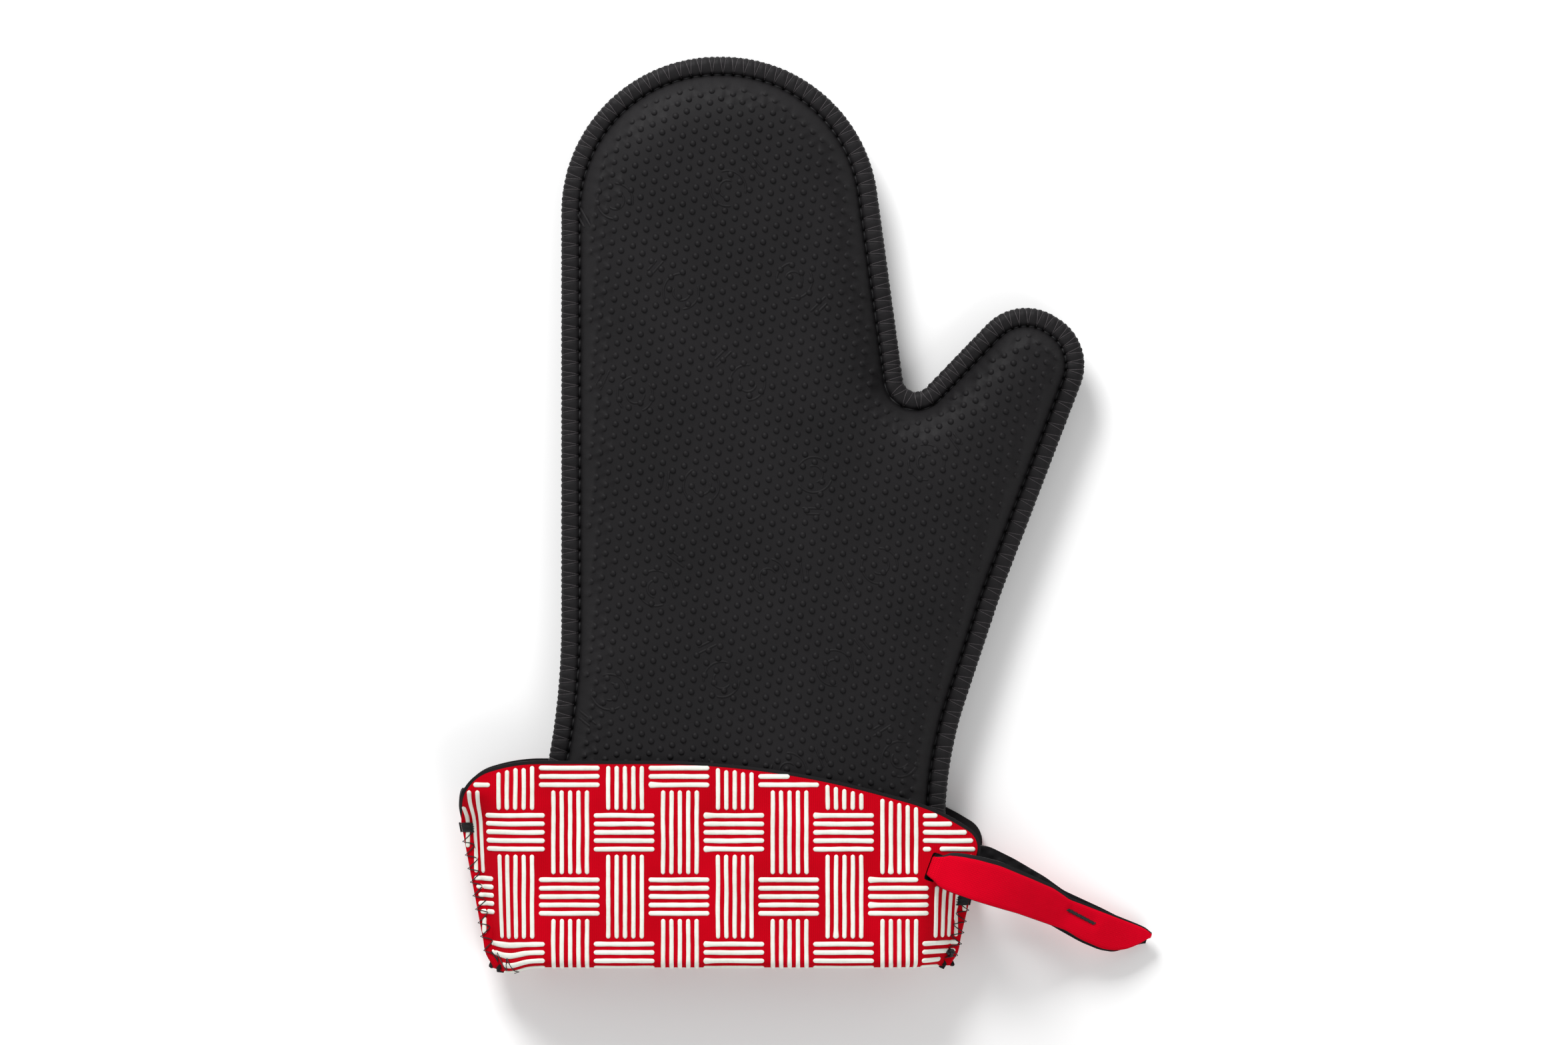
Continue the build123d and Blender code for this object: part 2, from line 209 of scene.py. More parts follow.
def distances(points, line):
    """Each point's distance from a line sampled every millimetre, plain and softened.

    The softened one has no ridge where two sides of the line are equally near.
    """
    reach = 4.0
    nearest = np.empty(len(points))
    softened = np.empty(len(points))
    for k in range(0, len(points), 2000):
        gap = points[k:k + 2000, None, :] - line[None, :, :]
        gap = np.sqrt((gap ** 2).sum(-1))
        nearest[k:k + 2000] = gap.min(1)
        total = np.exp(-gap / reach).sum(1) + 1e-30
        softened[k:k + 2000] = -reach * np.log(total / (4.5 * reach))
    return nearest, softened


def nearest_to(points, line):
    """Each point's distance from the nearest of a line's points."""
    found = [np.empty(0)]
    for k in range(0, len(points), 2000):
        gap = points[k:k + 2000, None, :] - line[None, :, :]
        found.append(np.sqrt((gap ** 2).sum(-1)).min(1))
    return np.concatenate(found)


def ripple(x, y, seed, size):
    """Gentle unevenness between -1 and 1, from a few crossing waves."""
    waves = np.random.default_rng(seed)
    total = np.zeros(np.shape(x))
    for _ in range(5):
        angle = waves.uniform(0, math.pi)
        phase = waves.uniform(0, 2 * math.pi)
        length = size * waves.uniform(0.7, 1.5)
        along = x * math.cos(angle) + y * math.sin(angle)
        total += np.sin(2 * math.pi * along / length + phase)
    return total / 5


# ---------------------------------------------------------------- meshes
def to_row(points):
    """Millimetres in the modelling frame to metres in the row frame."""
    return (np.asarray(points, float) + (0, FOLD_ROW_Y, 0)) / 1000


class Build:
    """Vertices, faces and cloth coordinates gathered for one piece."""

    def __init__(self):
        self.parts = []
        self.faces = []
        self.cloth = []
        self.count = 0

    def add(self, points, faces, cloth=None):
        points = np.asarray(points, float).reshape(-1, 3)
        self.parts.append(points)
        self.cloth.append(points[:, :2] if cloth is None else np.asarray(cloth, float))
        self.faces += [[self.count + i for i in face] for face in faces]
        self.count += len(points)

    def points(self):
        return np.concatenate(self.parts)

    def piece(self, name, look, sharp=50, flip=False):
        mesh = bpy.data.meshes.new(name)
        faces = [face[::-1] for face in self.faces] if flip else self.faces
        mesh.from_pydata(to_row(self.points()).tolist(), [], faces)
        cloth = mesh.attributes.new("cloth", "FLOAT_VECTOR", "POINT")
        flat = np.zeros((self.count, 3), np.float32)
        flat[:, :2] = np.concatenate(self.cloth)
        cloth.data.foreach_set("vector", flat.ravel())
        mesh.materials.append(look)
        mesh.shade_smooth()
        mesh.set_sharp_from_angle(angle=math.radians(sharp))
        mesh.validate()
        obj = bpy.data.objects.new(name, mesh)
        bpy.context.scene.collection.objects.link(obj)
        return obj


def triangulate(loop, inner, hole=None):
    """Triangles over a closed loop and the points in it. Numbering: loop, hole, inner points."""
    rings = [loop] if hole is None else [loop, hole]
    edges = []
    start = 0
    for ring in rings:
        n = len(ring)
        edges += [(start + i, start + (i + 1) % n) for i in range(n)]
        start += n
    points = np.concatenate([*rings, inner])
    made = delaunay_2d_cdt([Vector(p) for p in points], edges, [], 1, 1e-5)
    own = [origin[0] for origin in made[3]]
    faces = np.array([[own[i] for i in face] for face in made[2]])
    if hole is not None:
        faces = faces[~inside(points[faces].mean(axis=1), hole)]
    a, b, c = (points[faces[:, k]] for k in range(3))
    turn = (b[:, 0] - a[:, 0]) * (c[:, 1] - a[:, 1]) - (b[:, 1] - a[:, 1]) * (c[:, 0] - a[:, 0])
    faces[turn < 0] = faces[turn < 0][:, ::-1]
    return points, faces


def vertex_normals(points, faces):
    normals = np.zeros_like(points)
    for a, b, c in ((0, 1, 2), (0, 2, 3)):
        corner = np.array([[f[a], f[b], f[c]] for f in faces if len(f) > c])
        if len(corner) == 0:
            continue
        p, q, r = (points[corner[:, k]] for k in range(3))
        across = np.cross(q - p, r - p)
        for k in range(3):
            np.add.at(normals, corner[:, k], across)
    return unit(normals + 1e-12)


def quads(rows, columns, closed=False):
    """Faces over a grid of points numbered row by row; closed joins its last column to its first."""
    faces = []
    for i in range(rows - 1):
        for j in range(columns if closed else columns - 1):
            a = i * columns + j
            b = i * columns + (j + 1) % columns
            faces.append([a, b, b + columns, a + columns])
    return faces


def tube_faces(rings, sides):
    """A closed tube's wall and its two end caps."""
    last = (rings - 1) * sides
    caps = [list(range(sides))[::-1], [last + k for k in range(sides)]]
    return quads(rings, sides, closed=True) + caps


def open_edges(faces):
    """Edges with a face on one side only, in that face's direction."""
    seen = set()
    for face in faces:
        for a, b in zip(face, list(face[1:]) + [face[0]]):
            if (b, a) in seen:
                seen.remove((b, a))
            else:
                seen.add((a, b))
    return seen


def closed_sheet(faces, count):
    """A sheet's faces, the same ones over a second set of points below, and its sides."""
    under = [[count + i for i in face[::-1]] for face in faces]
    sides = [[b, a, count + a, count + b] for a, b in sorted(open_edges(faces))]
    return faces + under + sides


def thicken(points, faces, top, bottom):
    """A closed sheet from an open one: its faces lie top and bottom deep along the normals."""
    faces = [list(map(int, face)) for face in faces]
    normals = vertex_normals(points, faces)
    both = np.concatenate([points - normals * top[:, None], points - normals * bottom[:, None]])
    return both, closed_sheet(faces, len(points))


def tube(path, radius, sides=6):
    """Closed round tube along a path; its ends are rounded off by smaller rings."""
    path = np.asarray(path, float)
    along = unit(np.gradient(path, axis=0))
    up = np.array([0.0, 0.0, 1.0])
    helper = np.where(np.abs(along @ up)[:, None] > 0.9, [[1.0, 0.0, 0.0]], [up])
    side = unit(np.cross(along, helper))
    other = np.cross(side, along)
    thick = np.full(len(path), radius)
    thick[0] = thick[-1] = radius * 0.45
    turns = np.linspace(0, 2 * math.pi, sides, endpoint=False)
    rings = [
        path + thick[:, None] * (side * math.cos(a) + other * math.sin(a)) for a in turns
    ]
    return np.stack(rings, axis=1).reshape(-1, 3), tube_faces(len(path), sides)


def hexagonal(low, high, pitch, tilt):
    """Points of a tilted hexagonal lattice over a rectangle."""
    first = pitch * np.array([math.sin(tilt), math.cos(tilt)])
    second = pitch * np.array([math.sin(tilt + math.pi / 3), math.cos(tilt + math.pi / 3)])
    reach = int(2.2 * max(high[0] - low[0], high[1] - low[1]) / pitch)
    i, j = np.meshgrid(np.arange(-reach, reach), np.arange(-reach, reach))
    points = i.reshape(-1, 1) * first + j.reshape(-1, 1) * second + np.array(low)
    within = ((points > low) & (points < high)).all(axis=1)
    return points[within]


# ---------------------------------------------------------------- materials
class Look:
    """A node material with its Principled shader, and short calls to add nodes."""

    def __init__(self, name, roughness, specular=0.5):
        self.material = bpy.data.materials.new(name)
        self.material.use_nodes = True
        self.tree = self.material.node_tree
        self.shader = self.tree.nodes["Principled BSDF"]
        self.shader.inputs["Roughness"].default_value = roughness
        self.shader.inputs["Specular IOR Level"].default_value = specular

    def node(self, kind, **values):
        made = self.tree.nodes.new(kind)
        for key, value in values.items():
            if hasattr(made, key):
                setattr(made, key, value)
            else:
                made.inputs[key.replace("_", " ")].default_value = value
        return made

    def link(self, output, target):
        self.tree.links.new(output, target)

    def math(self, operation, first, second=0.0):
        made = self.node("ShaderNodeMath", operation=operation)
        for k, value in enumerate((first, second)):
            if isinstance(value, (int, float)):
                made.inputs[k].default_value = value
            else:
                self.link(value, made.inputs[k])
        return made.outputs[0]

    def scaled(self, value, factor, offset):
        return self.math("ADD", self.math("MULTIPLY", value, factor), offset)

    def blend(self, first, share, second, other_share):
        parts = self.math("MULTIPLY", first, share), self.math("MULTIPLY", second, other_share)
        return self.math("ADD", *parts)

    def noise(self, scale, detail=2.0):
        made = self.node("ShaderNodeTexNoise", Scale=scale, Detail=detail)
        self.link(self.node("ShaderNodeTexCoord").outputs["Object"], made.inputs["Vector"])
        return made.outputs["Fac"]

    def ramp(self, factor, stops):
        made = self.node("ShaderNodeValToRGB")
        while len(made.color_ramp.elements) < len(stops):
            made.color_ramp.elements.new(0.5)
        for element, (place, colour) in zip(made.color_ramp.elements, stops):
            element.position = place
            element.color = (*colour, 1)
        self.link(factor, made.inputs["Fac"])
        return made.outputs["Color"]

    def colour(self, output):
        self.link(output, self.shader.inputs["Base Color"])

    def roughness(self, output):
        self.link(output, self.shader.inputs["Roughness"])

    def relief(self, height, distance, strength=1.0):
        made = self.node("ShaderNodeBump", Strength=strength, Distance=distance)
        self.link(height, made.inputs["Height"])
        self.link(made.outputs["Normal"], self.shader.inputs["Normal"])


def foam_look(name, dark, light):
    """Matt black foam rubber: fine skin grain and faint patches."""
    look = Look(name, 0.58, 0.17)
    grain = look.noise(2600.0, 3.0)
    patches = look.noise(28.0, 3.0)
    look.colour(look.ramp(look.blend(grain, 0.45, patches, 0.55), [(0.3, dark), (0.7, light)]))
    look.roughness(look.scaled(grain, 0.18, 0.54))
    look.relief(look.blend(grain, 0.7, look.noise(5200.0), 0.3), 0.00006, 0.55)
    return look.material


def jersey_look(name, dark, light):
    """Fine weft knit: columns of V-shaped loops, with a soft uneven dye, and painted shade in the knit's
    hollows.
    """
    look = Look(name, 0.85, 0.04)
    cloth = look.node("ShaderNodeAttribute", attribute_name="cloth").outputs["Vector"]
    parts = look.node("ShaderNodeSeparateXYZ")
    look.link(cloth, parts.inputs[0])
    column = look.math("FRACT", look.math("DIVIDE", parts.outputs["X"], 0.72))
    off_centre = look.math("ABSOLUTE", look.math("SUBTRACT", column, 0.5))
    rows = look.math("DIVIDE", parts.outputs["Y"], 0.56)
    slanted = look.math("ADD", rows, look.math("MULTIPLY", off_centre, 1.5))
    wave = look.math("SINE", look.math("MULTIPLY", slanted, 2 * math.pi))
    loops = look.scaled(wave, 0.35, 0.5)
    valley = look.math("MULTIPLY", look.math("POWER", look.math("MULTIPLY", off_centre, 2.0), 4.0), 0.4)
    fibres = look.noise(3200.0, 3.0)
    height = look.math("SUBTRACT", loops, valley)
    height = look.math("ADD", height, look.math("MULTIPLY", fibres, 0.5))
    patches = look.noise(45.0, 3.0)
    # The base colour follows the knit's height as well as the patches, so the low places between loops are
    # painted darker: painted shade. The patches are the uneven dye.
    look.colour(look.ramp(look.blend(height, 0.5, patches, 0.4), [(0.2, dark), (0.75, light)]))
    look.relief(height, 0.00012, 0.6)
    return look.material


def print_look():
    """Cured white rubber ink: slightly glossy, faintly pitted and not quite even in tone."""
    look = Look("white_grip_rubber", 0.45, 0.4)
    pits = look.noise(1100.0, 3.0)
    patches = look.noise(70.0, 3.0)
    tone = look.blend(pits, 0.35, patches, 0.65)
    look.colour(look.ramp(tone, [(0.25, (0.66, 0.66, 0.58)), (0.6, (0.80, 0.82, 0.75))]))
    look.roughness(look.scaled(pits, 0.25, 0.36))
    look.relief(pits, 0.00012, 0.4)
    return look.material


def thread_look(name, dark, light):
    """Spun polyester thread: fine twisted strands."""
    look = Look(name, 0.55, 0.3)
    strands = look.noise(4200.0)
    look.colour(look.ramp(strands, [(0.3, dark), (0.7, light)]))
    look.relief(strands, 0.00008, 0.6)
    return look.material


FOAM_LOOK = foam_look("black_foam_rubber", (0.0042, 0.0038, 0.0044), (0.0095, 0.0086, 0.0096))
JERSEY_LOOK = jersey_look("red_jersey", (0.28, 0.0, 0.002), (0.60, 0.0, 0.010))
# The strap's jersey is the same red jersey as the cuff's, painted lighter: painted light.
STRAP_JERSEY_PAINTED_LIGHTER = jersey_look("red_strap_jersey_painted_lighter", (0.36, 0.0, 0.005), (0.76, 0.0, 0.018))
PRINT_LOOK = print_look()
THREAD_LOOK = thread_look("black_thread", (0.006, 0.006, 0.007), (0.02, 0.02, 0.022))
LOOPER_LOOK = thread_look("grey_looper_thread", (0.026, 0.023, 0.025), (0.07, 0.062, 0.066))


# ---------------------------------------------------------------- outlines
GLOVE = rounded_path(GLOVE_POINTS, GLOVE_RADII)
# The same outline run straight on past the fold, so that the open end has no influence.
GLOVE_FIELD = resample(np.concatenate([[(-88.2, -36)], GLOVE, [(88.4, -36)]]), 1.0)


def cuff_path(shift=0.0):
    """Plan of one cuff flap, from the left end of the fold over the top to its right end."""
    points = [
        (-CUFF_LEFT, FOLD_Y), (-CUFF_LEFT, 8), (-103.0, 71.8), (-78.1, 79), (16.9, 79),
        (81.0 + shift, 61.6 + shift), (100.2 + shift, 50.2 + shift), (CUFF_RIGHT, 8),
        (CUFF_RIGHT, FOLD_Y),
    ]
    return rounded_path(points, [20, 17, 60, 330, 80, 9, 20])


def cuff_edge_distance(x, y):
    """Distance inward from the nearer side edge of the cuff."""
    grown = np.maximum(y - FLARE_Y, 0) * CUFF_FLARE
    left = x + CUFF_LEFT + grown
    right = CUFF_RIGHT - x + grown * RIGHT_FLARE
    return np.where(x < 0, left, right) * FLARE_SLANT


# ---------------------------------------------------------------- heights above the seam plane
def panel_full_w(side, y):
    """Height of a panel's outer face in the middle of the hand."""
    if side > 0:
        return np.full(np.shape(y), PALM_W)
    low = PALM_W - NUB_HEIGHT
    return BACK_WRIST_W + (low - BACK_WRIST_W) * smooth(80, 96, y)


def crown(depth, softened):
    """Share of a panel's full height, depth inside the foot of its rise."""
    eased = smooth(4, 12, depth)
    depth = np.maximum(depth * (1 - eased) + softened * eased, 0)
    return (1 - np.exp(-2 * depth / 12.5)) ** 0.78


def dents(side, xy, nearest):
    """Soft hollows of a sheet that nothing fills; the cuff keeps its part of the panel level."""
    x, y = xy.T
    small = 0.3 * ripple(x, y, 3 + side, 50.0) * smooth(10, 30, nearest)
    large = 0.8 * ripple(x, y, 8 + side, 120.0) * smooth(14, 45, nearest)
    return small + (large - 0.3) * smooth(84, 130, y)


def panel_w(side, xy, thickness=0.0):
    """Height of a panel's face away from the rim; thickness is measured inward from outside."""
    nearest, softened = distances(xy, GLOVE_FIELD)
    foot = HAND_FLANGE + thickness
    low = 3.1 - thickness
    full = panel_full_w(side, xy[:, 1]) - thickness + dents(side, xy, nearest)
    return low + (full - low) * crown(nearest - foot, softened - foot)


def lining_w(side, xy):
    """Height of the lining's inner face."""
    nearest, softened = distances(xy, GLOVE_FIELD)
    foot = HAND_FLANGE + SHEET
    rise = crown(nearest - foot, softened - foot)
    rise = np.where(nearest > foot, rise, 0)
    full = panel_full_w(side, xy[:, 1]) - SHEET + dents(side, xy, nearest)
    return 0.02 + (full - 0.02) * rise


def flap_w(side, x, y):
    """Height of a cuff flap's jersey face: walled where it is sewn, level where it is free."""
    full = FRONT_FLAP_W if side > 0 else BACK_FLAP_W
    shoulder = 16.0 if side > 0 else 13.0
    inset = cuff_edge_distance(x, y)
    t = np.clip((inset - 4.2) / shoulder, 0, 1)
    walled = SHEET + (full - SHEET) * (1 - (1 - t) ** 1.9)
    edge = np.clip(inset / 1.6, 0, 1)
    rounded = 0.6 + (SHEET - 0.6) * np.sqrt(edge * (2 - edge))
    walled = np.where(inset < 4.2, rounded, walled)
    free_left = smooth(LEFT_SEAM_TOP + 1, LEFT_SEAM_TOP + 14, y)
    free_right = smooth(RIGHT_SEAM_TOP, RIGHT_SEAM_TOP + 10, y)
    free = np.where(x < 0, free_left, free_right)
    level = full - 0.5 * bump(inset, 6.0)
    return walled + (level - walled) * free


def corner_pull(x, y):
    """The cuff's corners at the fold are rounded in plan by drawing them in."""
    drop = np.clip(8 - y, 0, 8)
    amount = 8 - np.sqrt(64 - drop ** 2 * 0.92)
    return -np.sign(x) * amount * smooth(74, 91, np.abs(x))


def corner_sag(x, y):
    """The fold's left corner hangs a little lower than the rest of it."""
    return CORNER_SAG * bump(x + 81.5, 6.0) * (1 - smooth(0, 15, y))


def cuff_surface(side, x, v, lift=0.0):
    """Point on a flap's jersey face. v is y down to the fold, and beyond it runs round the fold."""
    step = 0.05

    def place(x, v):
        y = np.maximum(v, FOLD_Y)
        outer = np.stack([x, y, flap_w(side, x, y)], axis=1)
        angle = np.clip((FOLD_Y - v) / FOLD_R, 0, math.pi)
        edge_inset = cuff_edge_distance(x, FOLD_Y)
        half = np.where(x < 0, CUFF_LEFT, CUFF_RIGHT)
        inner_inset = np.interp(edge_inset, FOLD_OUTER_INSETS, FOLD_INNER_INSETS)
        inner_x = np.sign(x) * (half - inner_inset)
        inner_x = np.where(edge_inset > FOLD_OUTER_INSETS[-1], x, inner_x)
        inner_w = INNER_ROW[side](inner_x)
        inner = np.stack([inner_x, np.full(len(x), FOLD_Y), inner_w], axis=1)
        middle = (outer + inner) / 2
        middle[:, 1] = y
        turned = middle + (outer - middle) * np.cos(angle)[:, None]
        turned[:, 1] = y - FOLD_R * np.sin(angle)
        flat = np.where((v >= FOLD_Y)[:, None], outer, turned)
        flat[:, 0] += corner_pull(flat[:, 0], flat[:, 1]) * (1 - smooth(0, 2.2, angle))
        flat[:, 1] -= corner_sag(flat[:, 0], flat[:, 1]) * (1 - smooth(1.5, 3.0, angle))
        return flat

    points = place(x, v)
    across = place(x + step, v) - points
    along = place(x, v + step) - points
    normal = unit(np.cross(across, along))
    return points + normal * np.asarray(lift)[..., None]


def inner_row(side):
    xs = np.linspace(-92, 92, 369)
    ws = lining_w(side, np.stack([xs, np.full(len(xs), FOLD_Y)], axis=1))
    return lambda x: np.interp(x, xs, ws)


INNER_ROW = {1: inner_row(1), -1: inner_row(-1)}


def seen_from(side, points):
    """(x, y, w) to the modelling frame."""
    return np.stack([points[:, 0], points[:, 1], SEAM_Z + side * points[:, 2]], axis=1)


# ---------------------------------------------------------------- stitches round the hand
RIM = resample(GLOVE, RIM_STEP)
RIM_IN = right_hand(RIM)
RIM_S = run_lengths(RIM)


def on_rim(s, table):
    """A table's value (RIM or RIM_IN) at places along the outline."""
    return np.stack([np.interp(s, RIM_S, table[:, k]) for k in range(2)], axis=-1)


def stitch_places():
    """Where the needle goes in, along the outline: closer together round the thumb's crotch."""
    crotch_s = RIM_S[np.argmin(np.linalg.norm(RIM - CROTCH, axis=1))]
    places = []
    s = 2.0
    while s < RIM_S[-1] - 2:
        places.append(s + rng.uniform(-0.25, 0.25))
        s += STITCH_PITCH - (STITCH_PITCH - CROTCH_PITCH) * bump(s - crotch_s, 20.0)
    return np.array(places)


STITCHES = stitch_places()


def to_stitch(s):
    """Signed distance along the outline from the nearest stitch."""
    after = np.clip(np.searchsorted(STITCHES, s), 1, len(STITCHES) - 1)
    below = s - STITCHES[after - 1]
    above = s - STITCHES[after]
    return np.where(np.abs(below) < np.abs(above), below, above)


def rim_relief(s, inset):
    """What stitches do to the rim: pits, grooves under the threads, and the puffed foam between."""
    off = to_stitch(s)
    leg = STITCH_SPREAD * np.clip(1 - inset / NEEDLE_INSET, 0, 1)
    under_thread = bump(np.abs(off) - leg, 0.42) * (inset < NEEDLE_INSET)
    puff = 0.55 * np.sin(math.pi * np.clip(inset / NEEDLE_INSET, 0, 1)) ** 0.8
    groove = 0.5 * bump(inset - NEEDLE_INSET, 0.7)
    pit = 1.5 * bump(inset - NEEDLE_INSET - 0.15, 0.75) * bump(off, 0.8)
    return puff - 0.34 * under_thread - groove - pit


def rim_w(s, inset):
    """Height of the rim's face, up to the foot of the panel's rise."""
    t = np.clip(inset / 2.3, 0, 1)
    return 0.5 + 2.6 * np.sqrt(1 - (1 - t) ** 2.3) + rim_relief(s, inset) * smooth(0, 1.5, inset)


def rim_shift(s, inset):
    """How far the rim's scallops stand out in plan."""
    off = np.abs(np.abs(to_stitch(s)) - STITCH_SPREAD)
    return (0.5 - 0.5 * bump(off, 0.45)) * np.clip(1 - inset / HAND_FLANGE, 0, 1) ** 2


def wrist_trim(y):
    """The hand's seam allowance is cut away where it would reach the cuff's own wall."""
    return 6.8 * (1 - smooth(18, 50, y))


def rim_points(side, s, inset):
    """Points of the rim's face at places along the outline and insets from it."""
    place = on_rim(s, RIM)
    inward = unit(on_rim(s, RIM_IN))
    inset = np.broadcast_to(inset, np.shape(s)).astype(float)
    xy = place + inward * (inset - rim_shift(s, inset))[:, None]
    w = rim_w(s, inset)
    rise = inset > HAND_FLANGE
    if rise.any():
        w[rise] += panel_w(side, place[rise] + inward[rise] * inset[rise][:, None]) - 3.1
    return np.concatenate([xy, w[:, None]], axis=1)


# ---------------------------------------------------------------- foam hand panels
def nub_points(side, clear_of):
    """Plan points for the nubs, with each point's share of the nub height."""
    centres = hexagonal((-70, NUBS_ABOVE_Y), HAND_HIGH, NUB_PITCH, NUB_TILT + side * 0.01)
    nearest = nearest_to(centres, GLOVE_FIELD)
    clear = RIM_INSETS[-1] + NUB_RINGS[-1][0] + 0.35
    centres = centres[inside(centres, clear_of) & (nearest > clear)]
    centres += rng.uniform(-0.12, 0.12, centres.shape)
    strength = rng.uniform(0.85, 1.15, len(centres))
    plan = []
    share = []
    for radius, count, height in NUB_RINGS:
        for angle in np.linspace(0, 2 * math.pi, count, endpoint=False):
            plan.append(centres + radius * np.array([math.cos(angle + radius), math.sin(angle + radius)]))
            share.append(height * strength)
    return np.concatenate(plan), np.concatenate(share)


def foam_rim(build, side):
    """Adds the rim's strip of faces and returns its last row of points, the one furthest in."""
    trim = wrist_trim(RIM[:, 1])
    rows = []
    for ring in RIM_INSETS:
        inset = trim + ring * (1 - trim / RIM_INSETS[-1])
        rows.append(rim_points(side, RIM_S, inset))
    strip = quads(len(rows), len(RIM))
    build.add(np.concatenate(rows), [[a, d, c, b] for a, b, c, d in strip])
    return rows[-1]


def plain_face_points(loop, nub_centres):
    """Points for the face where it has no nubs: beside the rim and under the cuff."""
    filler = hexagonal((-90, FOLD_Y + 1), HAND_HIGH, 3.2, 0.3)
    near_rim = nearest_to(filler, GLOVE_FIELD)
    clear = (near_rim > RIM_INSETS[-1] + 1.0) & inside(filler, loop)
    covered = (filler[:, 1] > NUBS_ABOVE_Y + 1) & (near_rim > HAND_FLANGE + 4.5)
    filler = filler[clear & ~covered]
    fringe = filler[:, 1] > NUBS_ABOVE_Y - 3
    return filler[~(fringe & (nearest_to(filler, nub_centres) < 2.1))]


def foam_face(build, side, rim_row):
    """Adds the crowned face with its nubs inside the rim, and returns its points at the mouth."""
    bottom_x = np.linspace(rim_row[-1, 0], rim_row[0, 0], 110)[1:-1]
    bottom = np.stack([bottom_x, np.full(len(bottom_x), FOLD_Y)], axis=1)
    loop = np.concatenate([rim_row[:, :2], bottom])
    nubs, share = nub_points(side, rim_row[:, :2])
    nub_centres = nubs[:len(nubs) // sum(count for _, count, _ in NUB_RINGS)]
    plain = plain_face_points(loop, nub_centres)
    plan, faces = triangulate(loop, np.concatenate([nubs, plain]))
    # The first points of this fan are the rim's last row, which is there already.
    n = len(rim_row)
    first = build.count - n
    w = panel_w(side, plan[n:])
    w[len(bottom):len(bottom) + len(nubs)] += NUB_HEIGHT * share
    build.add(np.concatenate([plan[n:], w[:, None]], axis=1), [])
    build.faces += [[first + i for i in face] for face in faces.tolist()]
    return [first + n + k for k in range(len(bottom))]


def foam_inner_face(build, side, boundary):
    """Adds the panel's plain inner face, and the wall between it and the outer boundary."""
    ring = build.points()[boundary][:, :2]
    grid = hexagonal((-90, FOLD_Y + 2), HAND_HIGH, 4.5, 0.1)
    grid = grid[inside(grid, ring) & (nearest_to(grid, GLOVE_FIELD) > 3)]
    plan, faces = triangulate(ring, grid)
    under = np.maximum(panel_w(side, plan, FOAM), 0.5)
    under = np.where(nearest_to(plan, GLOVE_FIELD) < HAND_FLANGE + FOAM, 0.5, under)
    under[:len(RIM)] = 0.02
    start = build.count
    build.add(np.concatenate([plan, under[:, None]], axis=1), faces[:, ::-1].tolist())
    m = len(boundary)
    build.faces += [
        [boundary[k], boundary[(k + 1) % m], start + (k + 1) % m, start + k] for k in range(m)
    ]


def foam_panel(side):
    """Foam of one side of the hand: rim, crowned face with nubs, and its plain inner face."""
    build = Build()
    rim_row = foam_rim(build, side)
    mouth = foam_face(build, side, rim_row)
    n = len(RIM)
    last = len(RIM_INSETS) - 1
    right_end = [j * n + n - 1 for j in range(1, last + 1)]
    left_end = [j * n for j in range(last, 0, -1)]
    foam_inner_face(build, side, list(range(n)) + right_end + mouth + left_end)
    emboss(build, side)
    return finish_panel(build, side)


def emboss(build, side):
    """Low moulded ridges between the nubs: broken rings, short arcs and bars in plain rows."""
    centres = hexagonal((-60, 66), (150, 340), EMBOSS_PITCH, 0.42)
    nearest = nearest_to(centres, GLOVE_FIELD)
    centres = centres[inside(centres, GLOVE) & (nearest > 19)]
    for centre in centres:
        first = rng.uniform(0, 2 * math.pi)
        arcs = [(7.0, first, 2.3), (6.6, first + 3.3, 2.0), (3.3, first + 1.2, 3.6)]
        strokes = []
        for radius, start, sweep in arcs:
            angles = np.linspace(start, start + sweep, int(radius * sweep / 0.8))
            strokes.append(centre + radius * np.stack([np.cos(angles), np.sin(angles)], axis=1))
        away = np.array([math.cos(first + 1.0), math.sin(first + 1.0)])
        beside = np.array([-away[1], away[0]])
        for offset, reach in ((13.0, 4.5), (15.2, 3.0)):
            along = np.linspace(-reach, reach, 12)[:, None]
            strokes.append(centre + away * offset + beside * along)
        for stroke in strokes:
            w = panel_w(side, stroke) - EMBOSS_SUNK
            ridge = np.concatenate([stroke, w[:, None]], axis=1)
            build.add(*tube(ridge, EMBOSS_R, 8))


def finish_panel(build, side):
    """Turns (x, y, w) into the modelling frame; the back is a mirror image."""
    build.parts = [seen_from(side, build.points())]
    build.cloth = [np.concatenate(build.cloth)]
    return build


# ---------------------------------------------------------------- cuff flaps, fold and lining
def slit_loop():
    """Slot for the strap, in plan, following the strap's heading."""
    half = SLIT_WIDTH / 2
    reach = SLIT_LENGTH / 2
    corners = [(-half, 0), (-half, reach), (half, reach), (half, -reach), (-half, -reach), (-half, 0)]
    loop = resample(rounded_path(corners, [0.8, 0.8, 0.8, 0.8]), 0.9)[:-1]
    loop[:, 0] += SLIT_OFFSET
    c = math.cos(STRAP_HEADING)
    s = math.sin(STRAP_HEADING)
    turned = np.stack([loop[:, 0] * c - loop[:, 1] * s, loop[:, 0] * s + loop[:, 1] * c], axis=1)
    return turned + SLIT_AXIS[:2]


